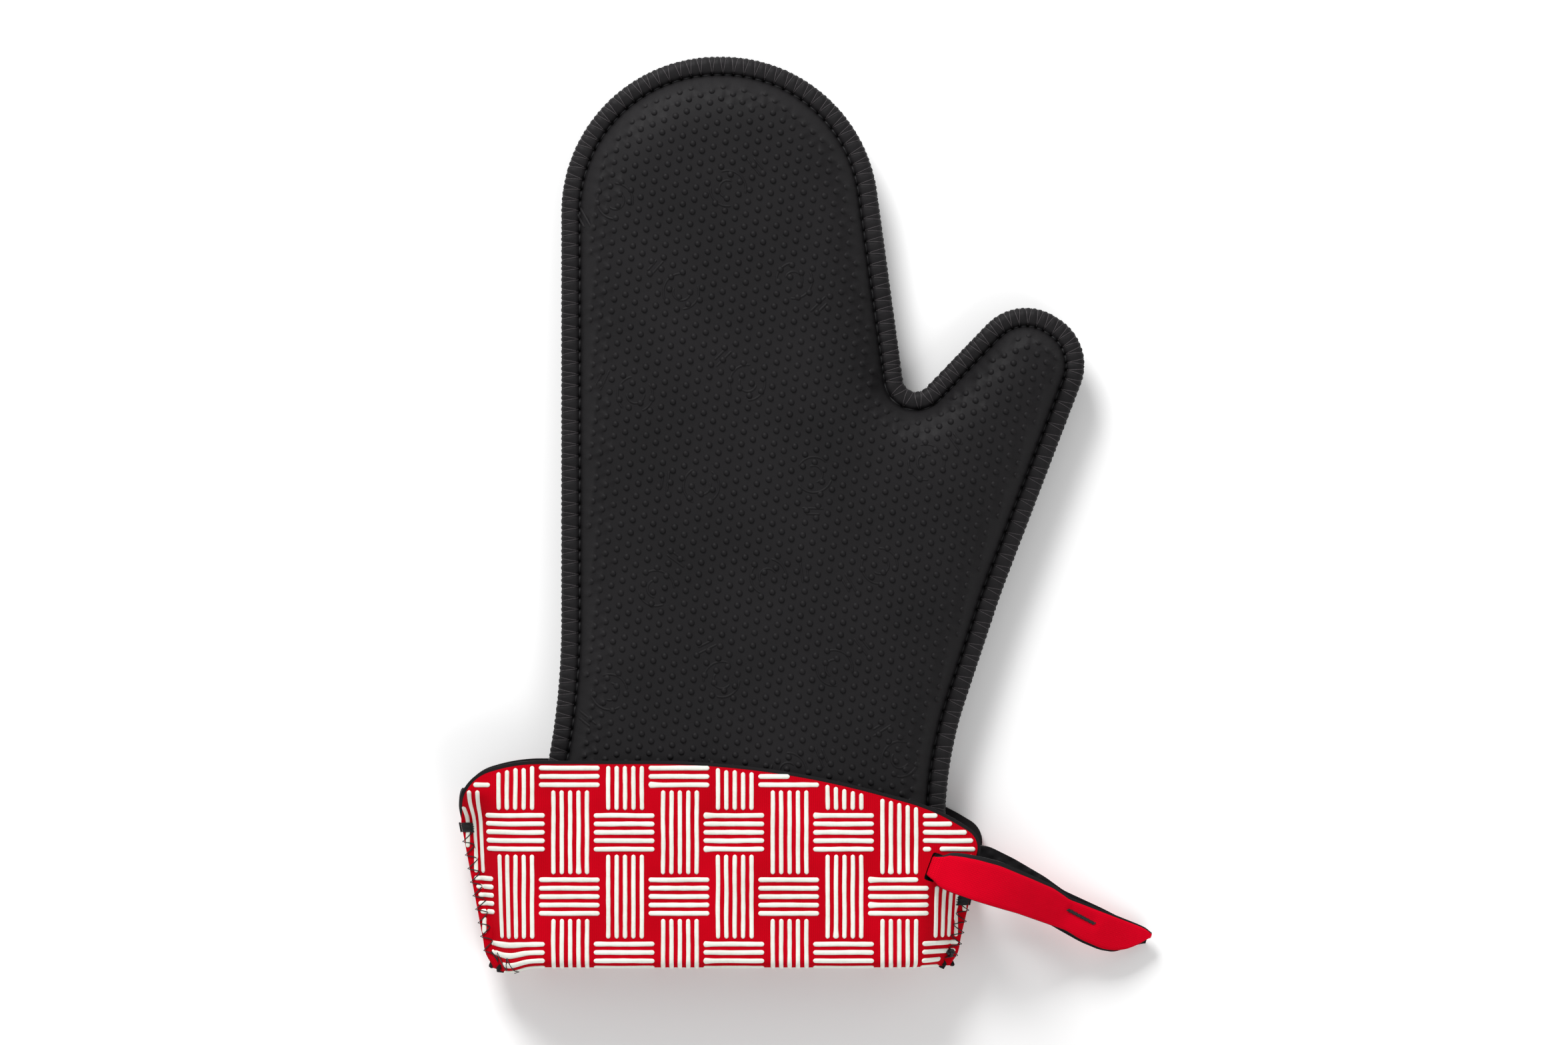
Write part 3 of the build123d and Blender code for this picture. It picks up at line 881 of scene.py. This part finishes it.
def flap_plan(side, edge_inset):
    """Plan points and faces of one flap, and the numbers of its row of points along the fold."""
    shift = 0.0 if side > 0 else BACK_CORNER_SHIFT
    outline = resample(cuff_path(shift), 1.2)
    inward = right_hand(outline)
    free = np.where(
        outline[:, 0] < 0,
        smooth(LEFT_SEAM_TOP, LEFT_SEAM_TOP + 6, outline[:, 1]),
        smooth(RIGHT_SEAM_TOP, RIGHT_SEAM_TOP + 8, outline[:, 1]),
    )
    outline = outline + inward * (0.05 + edge_inset * free)[:, None]
    outline[[0, -1], 1] = FOLD_Y
    columns = cuff_columns(outline[0, 0], outline[-1, 0])
    bottom = np.stack([columns[-2:0:-1], np.full(len(columns) - 2, FOLD_Y)], axis=1)
    loop = np.concatenate([outline, bottom])
    across = np.arange(-104, 104, 1.5)
    up = np.arange(FOLD_Y + 1.3, 80, 1.5)
    grid = np.stack(np.meshgrid(across, up), axis=2).reshape(-1, 2)
    grid = grid[inside(grid, loop) & (nearest_to(grid, resample(outline, 1.0)) > 1.9)]
    rings = np.concatenate([outline + inward * d for d in (0.5, 1.1)])
    inner = np.concatenate([rings[rings[:, 1] > FOLD_Y + 0.6], grid])
    hole = None
    if side > 0:
        hole = slit_loop()
        inner = inner[~inside(inner, hole) & (nearest_to(inner, hole) > 0.7)]
    plan, faces = triangulate(loop, inner, hole)
    row = [0] + [len(loop) - 1 - k for k in range(len(bottom))] + [len(outline) - 1]
    return plan, faces.tolist(), row


def flap_sheet(side, edge_inset, with_lining):
    """Open sheet over one flap and the fold, and on over the lining's inner face if asked.

    Returns its points, faces and cloth coordinates, and how thick it may be at each point.
    """
    plan, faces, row = flap_plan(side, edge_inset)
    points = [cuff_surface(side, plan[:, 0], plan[:, 1])]
    cloth = [plan]
    room = [np.full(len(plan), SHEET)]
    x = plan[row][:, 0]
    end = cuff_surface(side, x, np.full(len(x), FOLD_Y - FOLD_R * math.pi))
    half = (points[0][row][:, 2] - end[:, 2]) / 2
    roomy = smooth(1.6, 4.5, half)
    count = len(plan)
    for k in range(1, FOLD_ROWS + 1):
        angle = math.pi * k / FOLD_ROWS
        v = np.full(len(x), FOLD_Y - FOLD_R * angle)
        points.append(cuff_surface(side, x, v))
        cloth.append(np.stack([x, v], axis=1))
        tight = np.maximum(half * (1 + math.cos(angle)) * 0.95, THINNEST)
        room.append(SHEET * roomy + tight * (1 - roomy))
        new_row = list(range(count, count + len(x)))
        count += len(x)
        faces += [[row[i], new_row[i], new_row[i + 1], row[i + 1]] for i in range(len(x) - 1)]
        row = new_row
    if with_lining:
        flat, w, number, more = lining_fan(side, points[-1], row, count)
        points.append(np.concatenate([flat, w[:, None]], axis=1))
        cloth.append(flat * (1, -1) - (0, 2 * FOLD_R * math.pi))
        room.append(np.full(len(flat), SHEET))
        faces += more
    cloth = np.concatenate(cloth)
    room = np.concatenate(room)
    x = cloth[:count, 0]
    v = cloth[:count, 1]
    inset = cuff_edge_distance(x, np.maximum(v, FOLD_Y))
    at_corner = (1 - smooth(1.5, 7.0, inset)) * (1 - smooth(4, 12, v))
    room[:count] = np.maximum(room[:count] * (1 - at_corner), THINNEST)
    return np.concatenate(points), faces, cloth, room


def lining_fan(side, edge, row, count):
    """The lining's inner face from the fold's last row, edge, to the fingertips.

    Returns the new plan points, their heights, the numbering used and the faces.
    """
    hand = resample(GLOVE, 3.0)
    hand = hand + right_hand(hand) * LINING_INSET
    hand[0] = edge[0, :2]
    hand[-1] = edge[-1, :2]
    mouth = edge[-2:0:-1, :2].copy()
    mouth[:, 1] = FOLD_Y
    ring = np.concatenate([hand, mouth])
    shoulder = np.concatenate([hand + right_hand(hand) * d for d in (9.0, 9.8, 11.2, 13.5)])
    shoulder = shoulder[(shoulder[:, 1] > FOLD_Y + 1.5) & inside(shoulder, ring)]
    inner = hexagonal((-90, FOLD_Y + 2.2), HAND_HIGH, 3.4, 0.2)
    near = nearest_to(inner, GLOVE_FIELD)
    gap = nearest_to(inner, shoulder)
    inner = inner[inside(inner, ring) & (near > 3.0) & (gap > 1.3)]
    plan, faces = triangulate(ring, np.concatenate([inner, shoulder]))
    number = {0: row[0], len(hand) - 1: row[-1]}
    for k in range(len(mouth)):
        number[len(hand) + k] = row[len(row) - 2 - k]
    fresh = [i for i in range(len(plan)) if i not in number]
    number.update({i: count + k for k, i in enumerate(fresh)})
    faces = [[number[i] for i in face[::-1]] for face in faces.tolist()]
    return plan[fresh], lining_w(side, plan[fresh]), number, faces


def cuff_columns(left, right):
    """Places across the fold: close together at the flanges and shoulders."""
    steps = np.concatenate([np.arange(0, 9, 0.7), np.arange(9, 24, 1.0), np.arange(24, 90, 2.0)])
    from_left = left + steps
    from_right = right - steps
    middle = from_right[-1]
    return np.concatenate([from_left[from_left < middle - 0.8], from_right[::-1]])


def flap_piece(side, name, look, edge_inset, top, bottom, with_lining):
    """One layer of a flap as a closed sheet between two depths below the jersey's face."""
    points, faces, cloth, room = flap_sheet(side, edge_inset, with_lining)
    upper = np.maximum(top * room / SHEET, top / 2)
    lower = np.maximum(bottom * room / SHEET, upper + 0.1)
    both, closed = thicken(points, faces, upper, lower)
    build = Build()
    build.add(both, closed, np.concatenate([cloth, cloth]))
    finish_panel(build, side)
    return build.piece(name, look, flip=side < 0)


# ---------------------------------------------------------------- grip print
def cloth_table(side):
    """Print places across the cuff, a little closer in plan where the cloth turns down."""
    xs = np.linspace(-104, 104, 521)
    ys = np.arange(FOLD_Y, 80, 2.0)
    rows = []
    for y in ys:
        w = flap_w(side, xs, np.full(len(xs), y))
        arc = np.concatenate([[0], np.cumsum(np.hypot(np.diff(xs), np.diff(w)))])
        arc -= np.interp(0, xs, arc)
        rows.append(xs + PRINT_WRAP * (arc - xs))
    return xs, ys, np.array(rows)


def cloth_to_x(table, u, v):
    xs, ys, rows = table
    at = np.clip((np.maximum(v, FOLD_Y) - ys[0]) / 2.0, 0, len(ys) - 1.001)
    low = at.astype(int)
    share = at - low
    below = np.array([np.interp(a, rows[k], xs) for a, k in zip(u, low)])
    above = np.array([np.interp(a, rows[k + 1], xs) for a, k in zip(u, low)])
    return below * (1 - share) + above * share


def printed_line(build, side, table, middle, length, width, upright, keep):
    """One raised line of print, cut to what lies on the cloth, with round ends and a soft top."""
    seed = middle[0] * 3 + middle[1] * 7
    half = width / 2

    def place(at, across):
        offset = 0.1 * ripple(at, at * 0 + seed, 11, 14.0) + across
        u = middle[0] + (offset if upright else at)
        v = middle[1] + (at if upright else offset)
        return cloth_to_x(table, u, v), v

    at = np.arange(-length / 2, length / 2 + 0.01, 0.8)
    kept = np.flatnonzero(keep(*place(at, 0.0)))
    for run in np.split(kept, np.flatnonzero(np.diff(kept) > 1) + 1):
        if len(run) < 3:
            continue
        low = at[run[0]]
        high = at[run[-1]]
        cap = half * np.array([0.0, 0.25, 0.6, 1.0])
        body = np.arange(low + half + 0.7, high - half - 0.35, 1.0)
        stations = np.concatenate([low + cap, body, high - cap[::-1]]) if len(body) else np.array([])
        if not len(stations):
            continue
        from_end = np.minimum(stations - low, high - stations)
        roundness = np.sqrt(np.clip(1 - (1 - np.minimum(from_end / half, 1)) ** 2, 0.02, 1))
        spread = 0.96 * half * roundness * (1 + 0.06 * ripple(stations, stations * 0 + seed, 12, 6.0))
        if rng.random() < 0.1:
            spread = spread * (1 + 0.35 * bump(stations - low, 2.4))
        rings = []
        for across, height in PRINT_SECTION:
            x, v = place(stations, across * spread)
            lift = height * np.where(height > 0, 0.35 + 0.65 * roundness, 1)
            rings.append(cuff_surface(side, x, v, lift))
        faces = tube_faces(len(stations), len(rings))
        if upright:
            faces = [face[::-1] for face in faces]
        build.add(np.stack(rings, axis=1), faces)


def grip_print(side, name):
    """Basket-weave of raised lines, carried round the shoulders and over the fold."""
    table = cloth_table(side)
    shift = 0.0 if side > 0 else BACK_CORNER_SHIFT
    outline = cuff_path(shift)
    loop = np.concatenate([outline, [(CUFF_RIGHT, -30), (-CUFF_LEFT, -30)]])
    field = resample(outline, 1.0)
    slit = slit_loop()

    def keep(x, v):
        xy = np.stack([x, v], axis=1)
        near = nearest_to(xy, field)
        free = np.where(x < 0, v > LEFT_SEAM_TOP, v > RIGHT_SEAM_TOP)
        margin = np.where(free, EDGE_SHOWS + 0.45, 0.9)
        ok = inside(xy, loop) & (near > margin) & (v > FOLD_Y - FOLD_R * 2.6)
        ok &= (v > FOLD_Y + 1) | (cuff_edge_distance(x, FOLD_Y) > 6)
        if side > 0:
            gap = nearest_to(xy, slit)
            ok &= (gap > 1.6) & ~inside(xy, slit)
        return ok

    build = Build()
    for column in range(-5, 8):
        for row in range(-3, 3):
            middle = (PRINT_ANCHOR[0] + column * BLOCK_STEP_X, PRINT_ANCHOR[1] + row * BLOCK_STEP_Y)
            for line in range(LINES):
                off = (line - (LINES - 1) / 2) * LINE_STEP
                if (column + row) % 2 == 0:
                    place = (middle[0], middle[1] + off)
                    printed_line(build, side, table, place, *LEVEL_LINE, False, keep)
                else:
                    place = (middle[0] + off, middle[1])
                    printed_line(build, side, table, place, *UPRIGHT_LINE, True, keep)
    finish_panel(build, side)
    return build.piece(name, PRINT_LOOK, sharp=70, flip=side < 0)


# ---------------------------------------------------------------- threads
def rim_threads(side, name, look):
    """The overlock's V-shaped threads on one face of the hand's seam, and round its edge."""
    build = Build()
    insets = np.array([NEEDLE_INSET - 0.1, NEEDLE_INSET - 0.7, 5.0, 3.6, 2.2, 1.1, 0.4, 0.1])
    for at in STITCHES:
        if on_rim(at, RIM)[1] < THREADS_ABOVE_Y:
            continue
        for direction in (-1, 1):
            legs = direction * STITCH_SPREAD * (1 - insets / NEEDLE_INSET)
            s = at + legs + rng.uniform(-0.06, 0.06)
            path = rim_points(side, s, insets)
            path[:, 2] += 0.14
            path[0, 2] -= 0.3
            out = on_rim(s[-1], RIM) - on_rim(s[-1], RIM_IN) * 0.24
            path = np.concatenate([path, [[*out, 1.1], [*out, 0.0]]])
            build.add(*tube(path, THREAD_R))
    finish_panel(build, side)
    return build.piece(name, look, flip=side < 0)


def needle_thread(name):
    """The overlock's needle thread: a short stitch from pit to pit along the groove."""
    build = Build()
    for side in (1, -1):
        for first, second in zip(STITCHES, STITCHES[1:]):
            if on_rim(first, RIM)[1] < THREADS_ABOVE_Y:
                continue
            s = np.linspace(first, second, 7)
            path = rim_points(side, s, np.full(7, NEEDLE_INSET))
            path[:, 2] += 0.1 + 0.1 * np.sin(np.linspace(0, math.pi, 7))
            path[[0, -1], 2] -= 0.5
            points, faces = tube(seen_from(side, path), THREAD_R)
            build.add(points, faces)
    return build.piece(name, THREAD_LOOK)


def cuff_thread_path(side, at_left, stations):
    """Points on a flap's flange at (inset from the side edge, v), as (x, y, w) with a small lift."""
    inset, v = np.array(stations, float).T
    grown = np.maximum(v - FLARE_Y, 0) * CUFF_FLARE
    if at_left:
        x = -CUFF_LEFT - grown + inset / FLARE_SLANT
    else:
        x = CUFF_RIGHT + grown * RIGHT_FLARE - inset / FLARE_SLANT
    return cuff_surface(side, x, v, np.full(len(x), CUFF_THREAD_LIFT))


def edge_wrap(build, at_left, v, radius):
    """A thread round the cuff's side edge, from one face to the other."""
    turn = cuff_thread_path(1, at_left, [(0.3, v)])[0]
    outward = -0.3 if at_left else 0.3
    wrap = [
        (turn[0] + outward * math.cos(a), turn[1], SEAM_Z + turn[2] * math.sin(a))
        for a in np.linspace(math.pi / 2, -math.pi / 2, 7)
    ]
    build.add(*tube(wrap, radius))


def cuff_seam_thread(name, at_left, top, pitch):
    """Overlock zigzag over both faces and the edge of one side seam of the cuff."""
    build = Build()
    v = top
    while v > 7.0:
        depth = 4.5 + rng.uniform(-0.3, 0.3)
        low = v - pitch * 0.72
        after = v - pitch
        down = [(depth, v), (depth * 0.66, v - pitch * 0.26), (depth * 0.33, v - pitch * 0.5), (0.35, low)]
        back = [(0.35, low - 0.4), (depth * 0.4, low - 0.6), (depth * 0.75, low - 1.0), (depth, after)]
        for side in (1, -1):
            for stations in (down, back):
                fine = resample(np.array(stations, float), 0.9)
                path = seen_from(side, cuff_thread_path(side, at_left, fine))
                build.add(*tube(path, CUFF_THREAD_R))
        edge_wrap(build, at_left, low - 0.2, CUFF_THREAD_R)
        v -= pitch
    if at_left:
        corner_stitches(build)
    return build.piece(name, THREAD_LOOK)


def corner_stitches(build):
    """The left seam's last stitches run round the sagging corner of the fold, with a loose end."""
    rows = [(-88.3, 6.2), (-86.6, 3.0), (-85.4, 6.4), (-83.6, 0.8), (-81.8, 5.2), (-79.8, 0.2)]
    for first, second in zip(rows, rows[1:]):
        line = resample(np.array([first, second]), 0.7)
        lift = np.full(len(line), CUFF_THREAD_LIFT)
        path = cuff_surface(1, line[:, 0], line[:, 1], lift)
        build.add(*tube(seen_from(1, path), CUFF_THREAD_R))
    turns = np.linspace(0, 4.4, 14)
    x = -79.8 + 1.3 * np.sin(turns)
    v = 0.2 - 1.0 * (1 - np.cos(turns))
    tail = cuff_surface(1, x, v, np.full(len(x), CUFF_THREAD_LIFT))
    build.add(*tube(seen_from(1, tail), CUFF_THREAD_R))


def bar_tack(name, at_left, top):
    """Dense stitches that lock the top of a side seam, over both faces and the edge."""
    build = Build()
    for side in (1, -1):
        for k in range(TACK_STITCHES):
            v = top - TACK_STEP * k
            ends = [(0.5, v), (2.6, v + 0.1 * math.sin(5 * k)), (5.2 + 0.3 * math.sin(9 * k), v)]
            path = cuff_thread_path(side, at_left, resample(np.array(ends), 0.8))
            path[:, 2] += 0.14 * (1 + math.sin(7 * k))
            build.add(*tube(seen_from(side, path), TACK_THREAD_R))
    for k in range(TACK_STITCHES):
        edge_wrap(build, at_left, top - TACK_STEP * k, TACK_THREAD_R)
    return build.piece(name, THREAD_LOOK)


def seam_knot(name):
    """A tight trefoil knot of thread on the thumb-side seam."""
    centre = cuff_thread_path(1, False, [(3.0, FOLD_Y + 1.6)])[0] + (0, 0, SEAM_Z + 0.5)
    t = np.linspace(0, 2 * math.pi, 60)
    knot = np.stack([
        np.sin(t) + 2 * np.sin(2 * t), np.cos(t) - 2 * np.cos(2 * t), -1.2 * np.sin(3 * t),
    ], axis=1)
    build = Build()
    build.add(*tube(centre + knot * 0.42, 0.62))
    return build.piece(name, THREAD_LOOK)


# ---------------------------------------------------------------- hanging strap
def strap_line():
    """Side view of the eye's surface: along one leg, round the bend and out along the other."""
    apex = -STRAP_BEND / math.sin(STRAP_SPREAD)
    shoulder = (EYE_SHOULDER - apex) * math.tan(STRAP_SPREAD)
    points = [
        (STRAP_END, 0.06), (EYE_END, 0.06), (EYE_SHOULDER, shoulder), (apex, 0),
        (EYE_SHOULDER, -shoulder), (EYE_END, -0.06), (STRAP_END, -0.06),
    ]
    return resample(rounded_path(points, [20, EYE_ROUND, STRAP_BEND, EYE_ROUND, 20]), 0.55)


def through(stations, at, spread=3):
    """Values through a few stations, eased over neighbouring samples."""
    places, values = np.array(stations, float).T
    raw = np.interp(at, places, values)
    padded = np.pad(raw, spread, mode="edge")
    return np.convolve(padded, np.ones(2 * spread + 1) / (2 * spread + 1), "valid")


def place_strap(points):
    """From the strap's own frame, bend axis on Y and eye along +X, to its place on the cuff."""
    c = math.cos(STRAP_DROOP)
    s = math.sin(STRAP_DROOP)
    droop = np.array([[c, 0, s], [0, 1, 0], [-s, 0, c]])
    c = math.cos(STRAP_HEADING)
    s = math.sin(STRAP_HEADING)
    heading = np.array([[c, -s, 0], [s, c, 0], [0, 0, 1]])
    return points @ droop.T @ heading.T + SLIT_AXIS


LINE = strap_line()
LINE_OUT = right_hand(LINE)
LINE_S = run_lengths(LINE)
LEG = LINE_S[np.argmin(LINE[:, 0])] - LINE_S       # from the bend: positive on the front leg
FROM_BEND = LINE[:, 0] + STRAP_BEND
# The strap's two edges at places along it, measured from the bend, on each leg.
FRONT_UPPER = [
    (0, 3.4), (0.6, 5.4), (1.1, 6.8), (3.5, 8.0), (6.5, 8.9), (12, 10), (20, 10.8), (33, 9.9),
    (45, 8.9), (54, 6.6), (85.5, 5.4), (89, 5), (91, 3.8),
]
FRONT_LOWER = [
    (0, -3.2), (0.6, -4.8), (1.1, -5.8), (3.5, -6.4), (6.5, -6.7), (16, -6.6), (33, -5.8),
    (57.5, -6.1), (64, -7.5), (73.5, -8.2), (79, -7.3), (84, -4.9), (88, -1.4), (91, 2.4),
]
BACK_UPPER = [
    (0, 3.4), (0.6, 5), (1.1, 5.8), (4, 7.2), (9, 10.6), (13.5, 13), (21, 14.2), (31, 13),
    (44, 10.5), (52, 8.1), (69, 6.6), (81, 5.1), (88, 3.2), (91, 1),
]
BACK_LOWER = [
    (0, -3.2), (1.1, -4.4), (4, -4.4), (13.5, -1.5), (21, -0.3), (31, -1.5), (44, -4),
    (52, -6.2), (66, -8.5), (74, -8.9), (80, -7.9), (86, -3.5), (91, -0.5),
]
# The jersey stops short of the foam's upper edge on the front leg, where the cut edge shows.
BARE_EDGE = [(0, 0.4), (3, 1.3), (20, 1.6), (45, 1.2), (60, 0.9), (91, 0.5)]


def strap_edges():
    """The strap's lower and upper edge at each sample of its line."""
    front = LEG >= 0
    lower = np.where(front, through(FRONT_LOWER, FROM_BEND), through(BACK_LOWER, FROM_BEND))
    upper = np.where(front, through(FRONT_UPPER, FROM_BEND), through(BACK_UPPER, FROM_BEND))
    return lower, upper


def tack_pucker(x, y):
    """How far the strap is drawn in round its lengthwise row of stitches."""
    x = x - TACK_PLACE[0]
    y = y - TACK_PLACE[1]
    along = x * math.cos(TACK_TURN) + y * math.sin(TACK_TURN)
    across = -x * math.sin(TACK_TURN) + y * math.cos(TACK_TURN)
    return 0.75 * bump(across, 2.6) * (1 - smooth(4.5, 9.0, np.abs(along)))


def strap_sheet(depth, bare, columns):
    """Grid of points over the strap at a depth outside the eye's surface."""
    lower, upper = strap_edges()
    if bare:
        upper = upper - np.where(LEG >= 0, through(BARE_EDGE, FROM_BEND), 0.15)
        lower = lower + 0.15
    t = np.linspace(-1, 1, columns)
    t = np.sin(t * math.pi / 2) * 0.35 + t * 0.65
    across = lower[:, None] + (upper - lower)[:, None] * (t[None, :] + 1) / 2
    out = np.broadcast_to(LINE[:, None, :], (len(LINE), columns, 2)).copy()
    x = out[:, :, 0]
    drawn = tack_pucker(x, across) * (depth / SHEET)
    rolled = 0.45 * np.clip((np.abs(t) - 0.8) / 0.2, 0, 1)[None, :] ** 2 * (depth / SHEET)
    height = depth - drawn - rolled + 0.12 * ripple(x, across, 21, 16.0) * (depth / SHEET)
    out += LINE_OUT[:, None, :] * height[:, :, None]
    points = np.stack([out[:, :, 0], across, out[:, :, 1]], axis=2)
    cloth = np.stack([np.broadcast_to(across, x.shape), np.broadcast_to(LEG[:, None], x.shape)], axis=2)
    return points, cloth


def strap_layer(name, look, inner, outer):
    """One layer of the doubled strap as a closed ribbon; the inmost one has nubs inside the eye."""
    columns = 25
    bare = inner > 0
    low, cloth = strap_sheet(inner, bare, columns)
    high, _ = strap_sheet(outer, bare, columns)
    if not bare:
        low = strap_nubs(low, cloth)
    faces = closed_sheet(quads(len(LINE), columns), len(LINE) * columns)
    points = np.concatenate([high.reshape(-1, 3), low.reshape(-1, 3)])
    flat = cloth.reshape(-1, 2)
    build = Build()
    build.add(place_strap(points), faces, np.concatenate([flat, flat]))
    return build.piece(name, look)


def strap_nubs(points, cloth):
    """Raises nubs on the foam face inside the loop, where the legs stand apart."""
    flat = cloth.reshape(-1, 2)
    centres = hexagonal((-12, -100), (16, 100), NUB_PITCH, 0.3)
    nearest = nearest_to(flat, centres)
    open_here = 1 - smooth(EYE_END - 14, EYE_END - 4, LINE[:, 0])
    raised = 0.45 * np.clip(1 - (nearest / 1.5) ** 2, 0, 1).reshape(points.shape[:2])
    raised = raised * open_here[:, None] * smooth(3.0, 8.0, np.abs(LEG))[:, None]
    out = points.copy()
    out[:, :, 0] -= LINE_OUT[:, None, 0] * raised
    out[:, :, 2] -= LINE_OUT[:, None, 1] * raised
    return out


def tack_point(face, along, across, lift):
    """A place on one face of the strap, along and across its tack, lift above the cloth."""
    x = TACK_PLACE[0] + along * math.cos(TACK_TURN) - across * math.sin(TACK_TURN)
    y = TACK_PLACE[1] + along * math.sin(TACK_TURN) + across * math.cos(TACK_TURN)
    return x, y, face * (SHEET + lift - tack_pucker(x, y) * 0.95)


def strap_tack(name):
    """Lengthwise row of dense stitches through both legs, seen on both outer faces."""
    build = Build()
    for face in (1, -1):
        for k in range(19):
            along = -6.0 + 12.0 * k / 18
            reach = 0.62 + 0.12 * math.sin(4 * k)
            stations = [
                tack_point(face, along + 0.5 * t, reach * t, 0.06 + 0.22 * (1 - t * t))
                for t in np.linspace(-1, 1, 6)
            ]
            build.add(*place_strap_tube(stations, 0.3))
        core = [tack_point(face, a, 0.0, 0.05) for a in np.linspace(-6.2, 6.2, 14)]
        build.add(*place_strap_tube(core, 0.45))
    return build.piece(name, THREAD_LOOK)


def place_strap_tube(stations, radius):
    points, faces = tube(stations, radius)
    return place_strap(points), faces


# ---------------------------------------------------------------- the stage
def studio():
    """Pale floor, soft light and a camera looking straight down."""
    bpy.ops.mesh.primitive_plane_add(size=6, location=(0, 0, 0))
    floor = bpy.context.object
    floor.name = "studio_floor"
    look = Look("pale_floor", 0.9, 0.1)
    look.shader.inputs["Base Color"].default_value = (0.93, 0.93, 0.93, 1)
    floor.data.materials.append(look.material)

    world = bpy.data.worlds.new("studio_world")
    bpy.context.scene.world = world
    world.use_nodes = True
    world.node_tree.nodes["Background"].inputs["Color"].default_value = (1, 1, 1, 1)
    world.node_tree.nodes["Background"].inputs["Strength"].default_value = 0.56

    def area_light(name, place, size, power):
        data = bpy.data.lights.new(name, "AREA")
        data.size = size
        data.energy = power
        light = bpy.data.objects.new(name, data)
        light.location = place
        aim = Vector((0.02, 0, 0.02)) - Vector(place)
        light.rotation_euler = aim.to_track_quat("-Z", "Y").to_euler()
        bpy.context.scene.collection.objects.link(light)

    area_light("key_light", (-0.55, 1.5, 1.15), 0.8, 42)
    area_light("fill_light", (0.9, -1.2, 1.6), 1.2, 10)

    camera = bpy.data.objects.new("camera", bpy.data.cameras.new("camera"))
    view_width = 0.5998
    distance = 3.0
    camera.data.sensor_width = 36
    camera.data.lens = 36 * distance / view_width
    camera.data.clip_end = 50
    camera.location = (0.02397, (169.8 + FOLD_ROW_Y) / 1000, distance + 0.022)
    bpy.context.scene.collection.objects.link(camera)
    bpy.context.scene.camera = camera
    bpy.context.scene.view_settings.view_transform = "Standard"


# ---------------------------------------------------------------- assembly
def settle(piece, body, slot, *nodes):
    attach(piece, body)
    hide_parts(*nodes)
    return piece


studio()
for side, panel, cuff, shell, lining, grip, looper in (
    (1, "palm_foam_panel", "front_cuff_foam", "palm_foam_shell", "palm_lining",
     "front_cuff_grip_print", "hand_seam_upper_looper_thread"),
    (-1, "back_foam_panel", "back_cuff_foam", "back_foam_shell", "back_lining",
     "back_cuff_grip_print", "hand_seam_lower_looper_thread"),
):
    hand = foam_panel(side).piece(panel, FOAM_LOOK, flip=side < 0)
    settle(hand, "mitt", "black_foam_rubber", shell)
    foam = flap_piece(side, cuff, FOAM_LOOK, 0.0, JERSEY, SHEET, False)
    settle(foam, "mitt", "black_foam_rubber", shell)
    jersey = flap_piece(side, lining + "_jersey", JERSEY_LOOK, EDGE_SHOWS, 0.0, JERSEY, True)
    settle(jersey, "mitt", "red_jersey", lining)
    settle(grip_print(side, grip + "_lines"), "mitt", "white_grip_rubber", grip)
    settle(rim_threads(side, looper + "_run", LOOPER_LOOK), "mitt", "black_thread", looper)
for stitches, node in (
    (needle_thread("hand_seam_needle_stitches"), "hand_seam_needle_thread"),
    (cuff_seam_thread("left_cuff_seam_stitches", True, LEFT_SEAM_TOP - ZIGZAG_DROP, LEFT_ZIGZAG),
     "left_cuff_seam_thread"),
    (cuff_seam_thread("right_cuff_seam_stitches", False, RIGHT_SEAM_TOP - ZIGZAG_DROP, RIGHT_ZIGZAG),
     "right_cuff_seam_thread"),
    (bar_tack("left_cuff_tack_stitches", True, LEFT_SEAM_TOP + 0.6), "left_cuff_bar_tack"),
    (bar_tack("right_cuff_tack_stitches", False, RIGHT_SEAM_TOP - 0.4), "right_cuff_bar_tack"),
    (seam_knot("right_cuff_thread_knot"), "right_cuff_seam_knot"),
):
    settle(stitches, "mitt", "black_thread", node)

strap_foam = strap_layer("strap_foam", FOAM_LOOK, 0.0, FOAM)
settle(strap_foam, "hanging_loop", "black_foam_rubber", "hanging_strap_foam")
strap_face = strap_layer("strap_jersey", STRAP_JERSEY_PAINTED_LIGHTER, FOAM, SHEET)
settle(strap_face, "hanging_loop", "red_jersey", "hanging_strap_facing")
settle(strap_tack("strap_tack_stitches"), "hanging_loop", "black_thread", "hanging_strap_bar_tack")
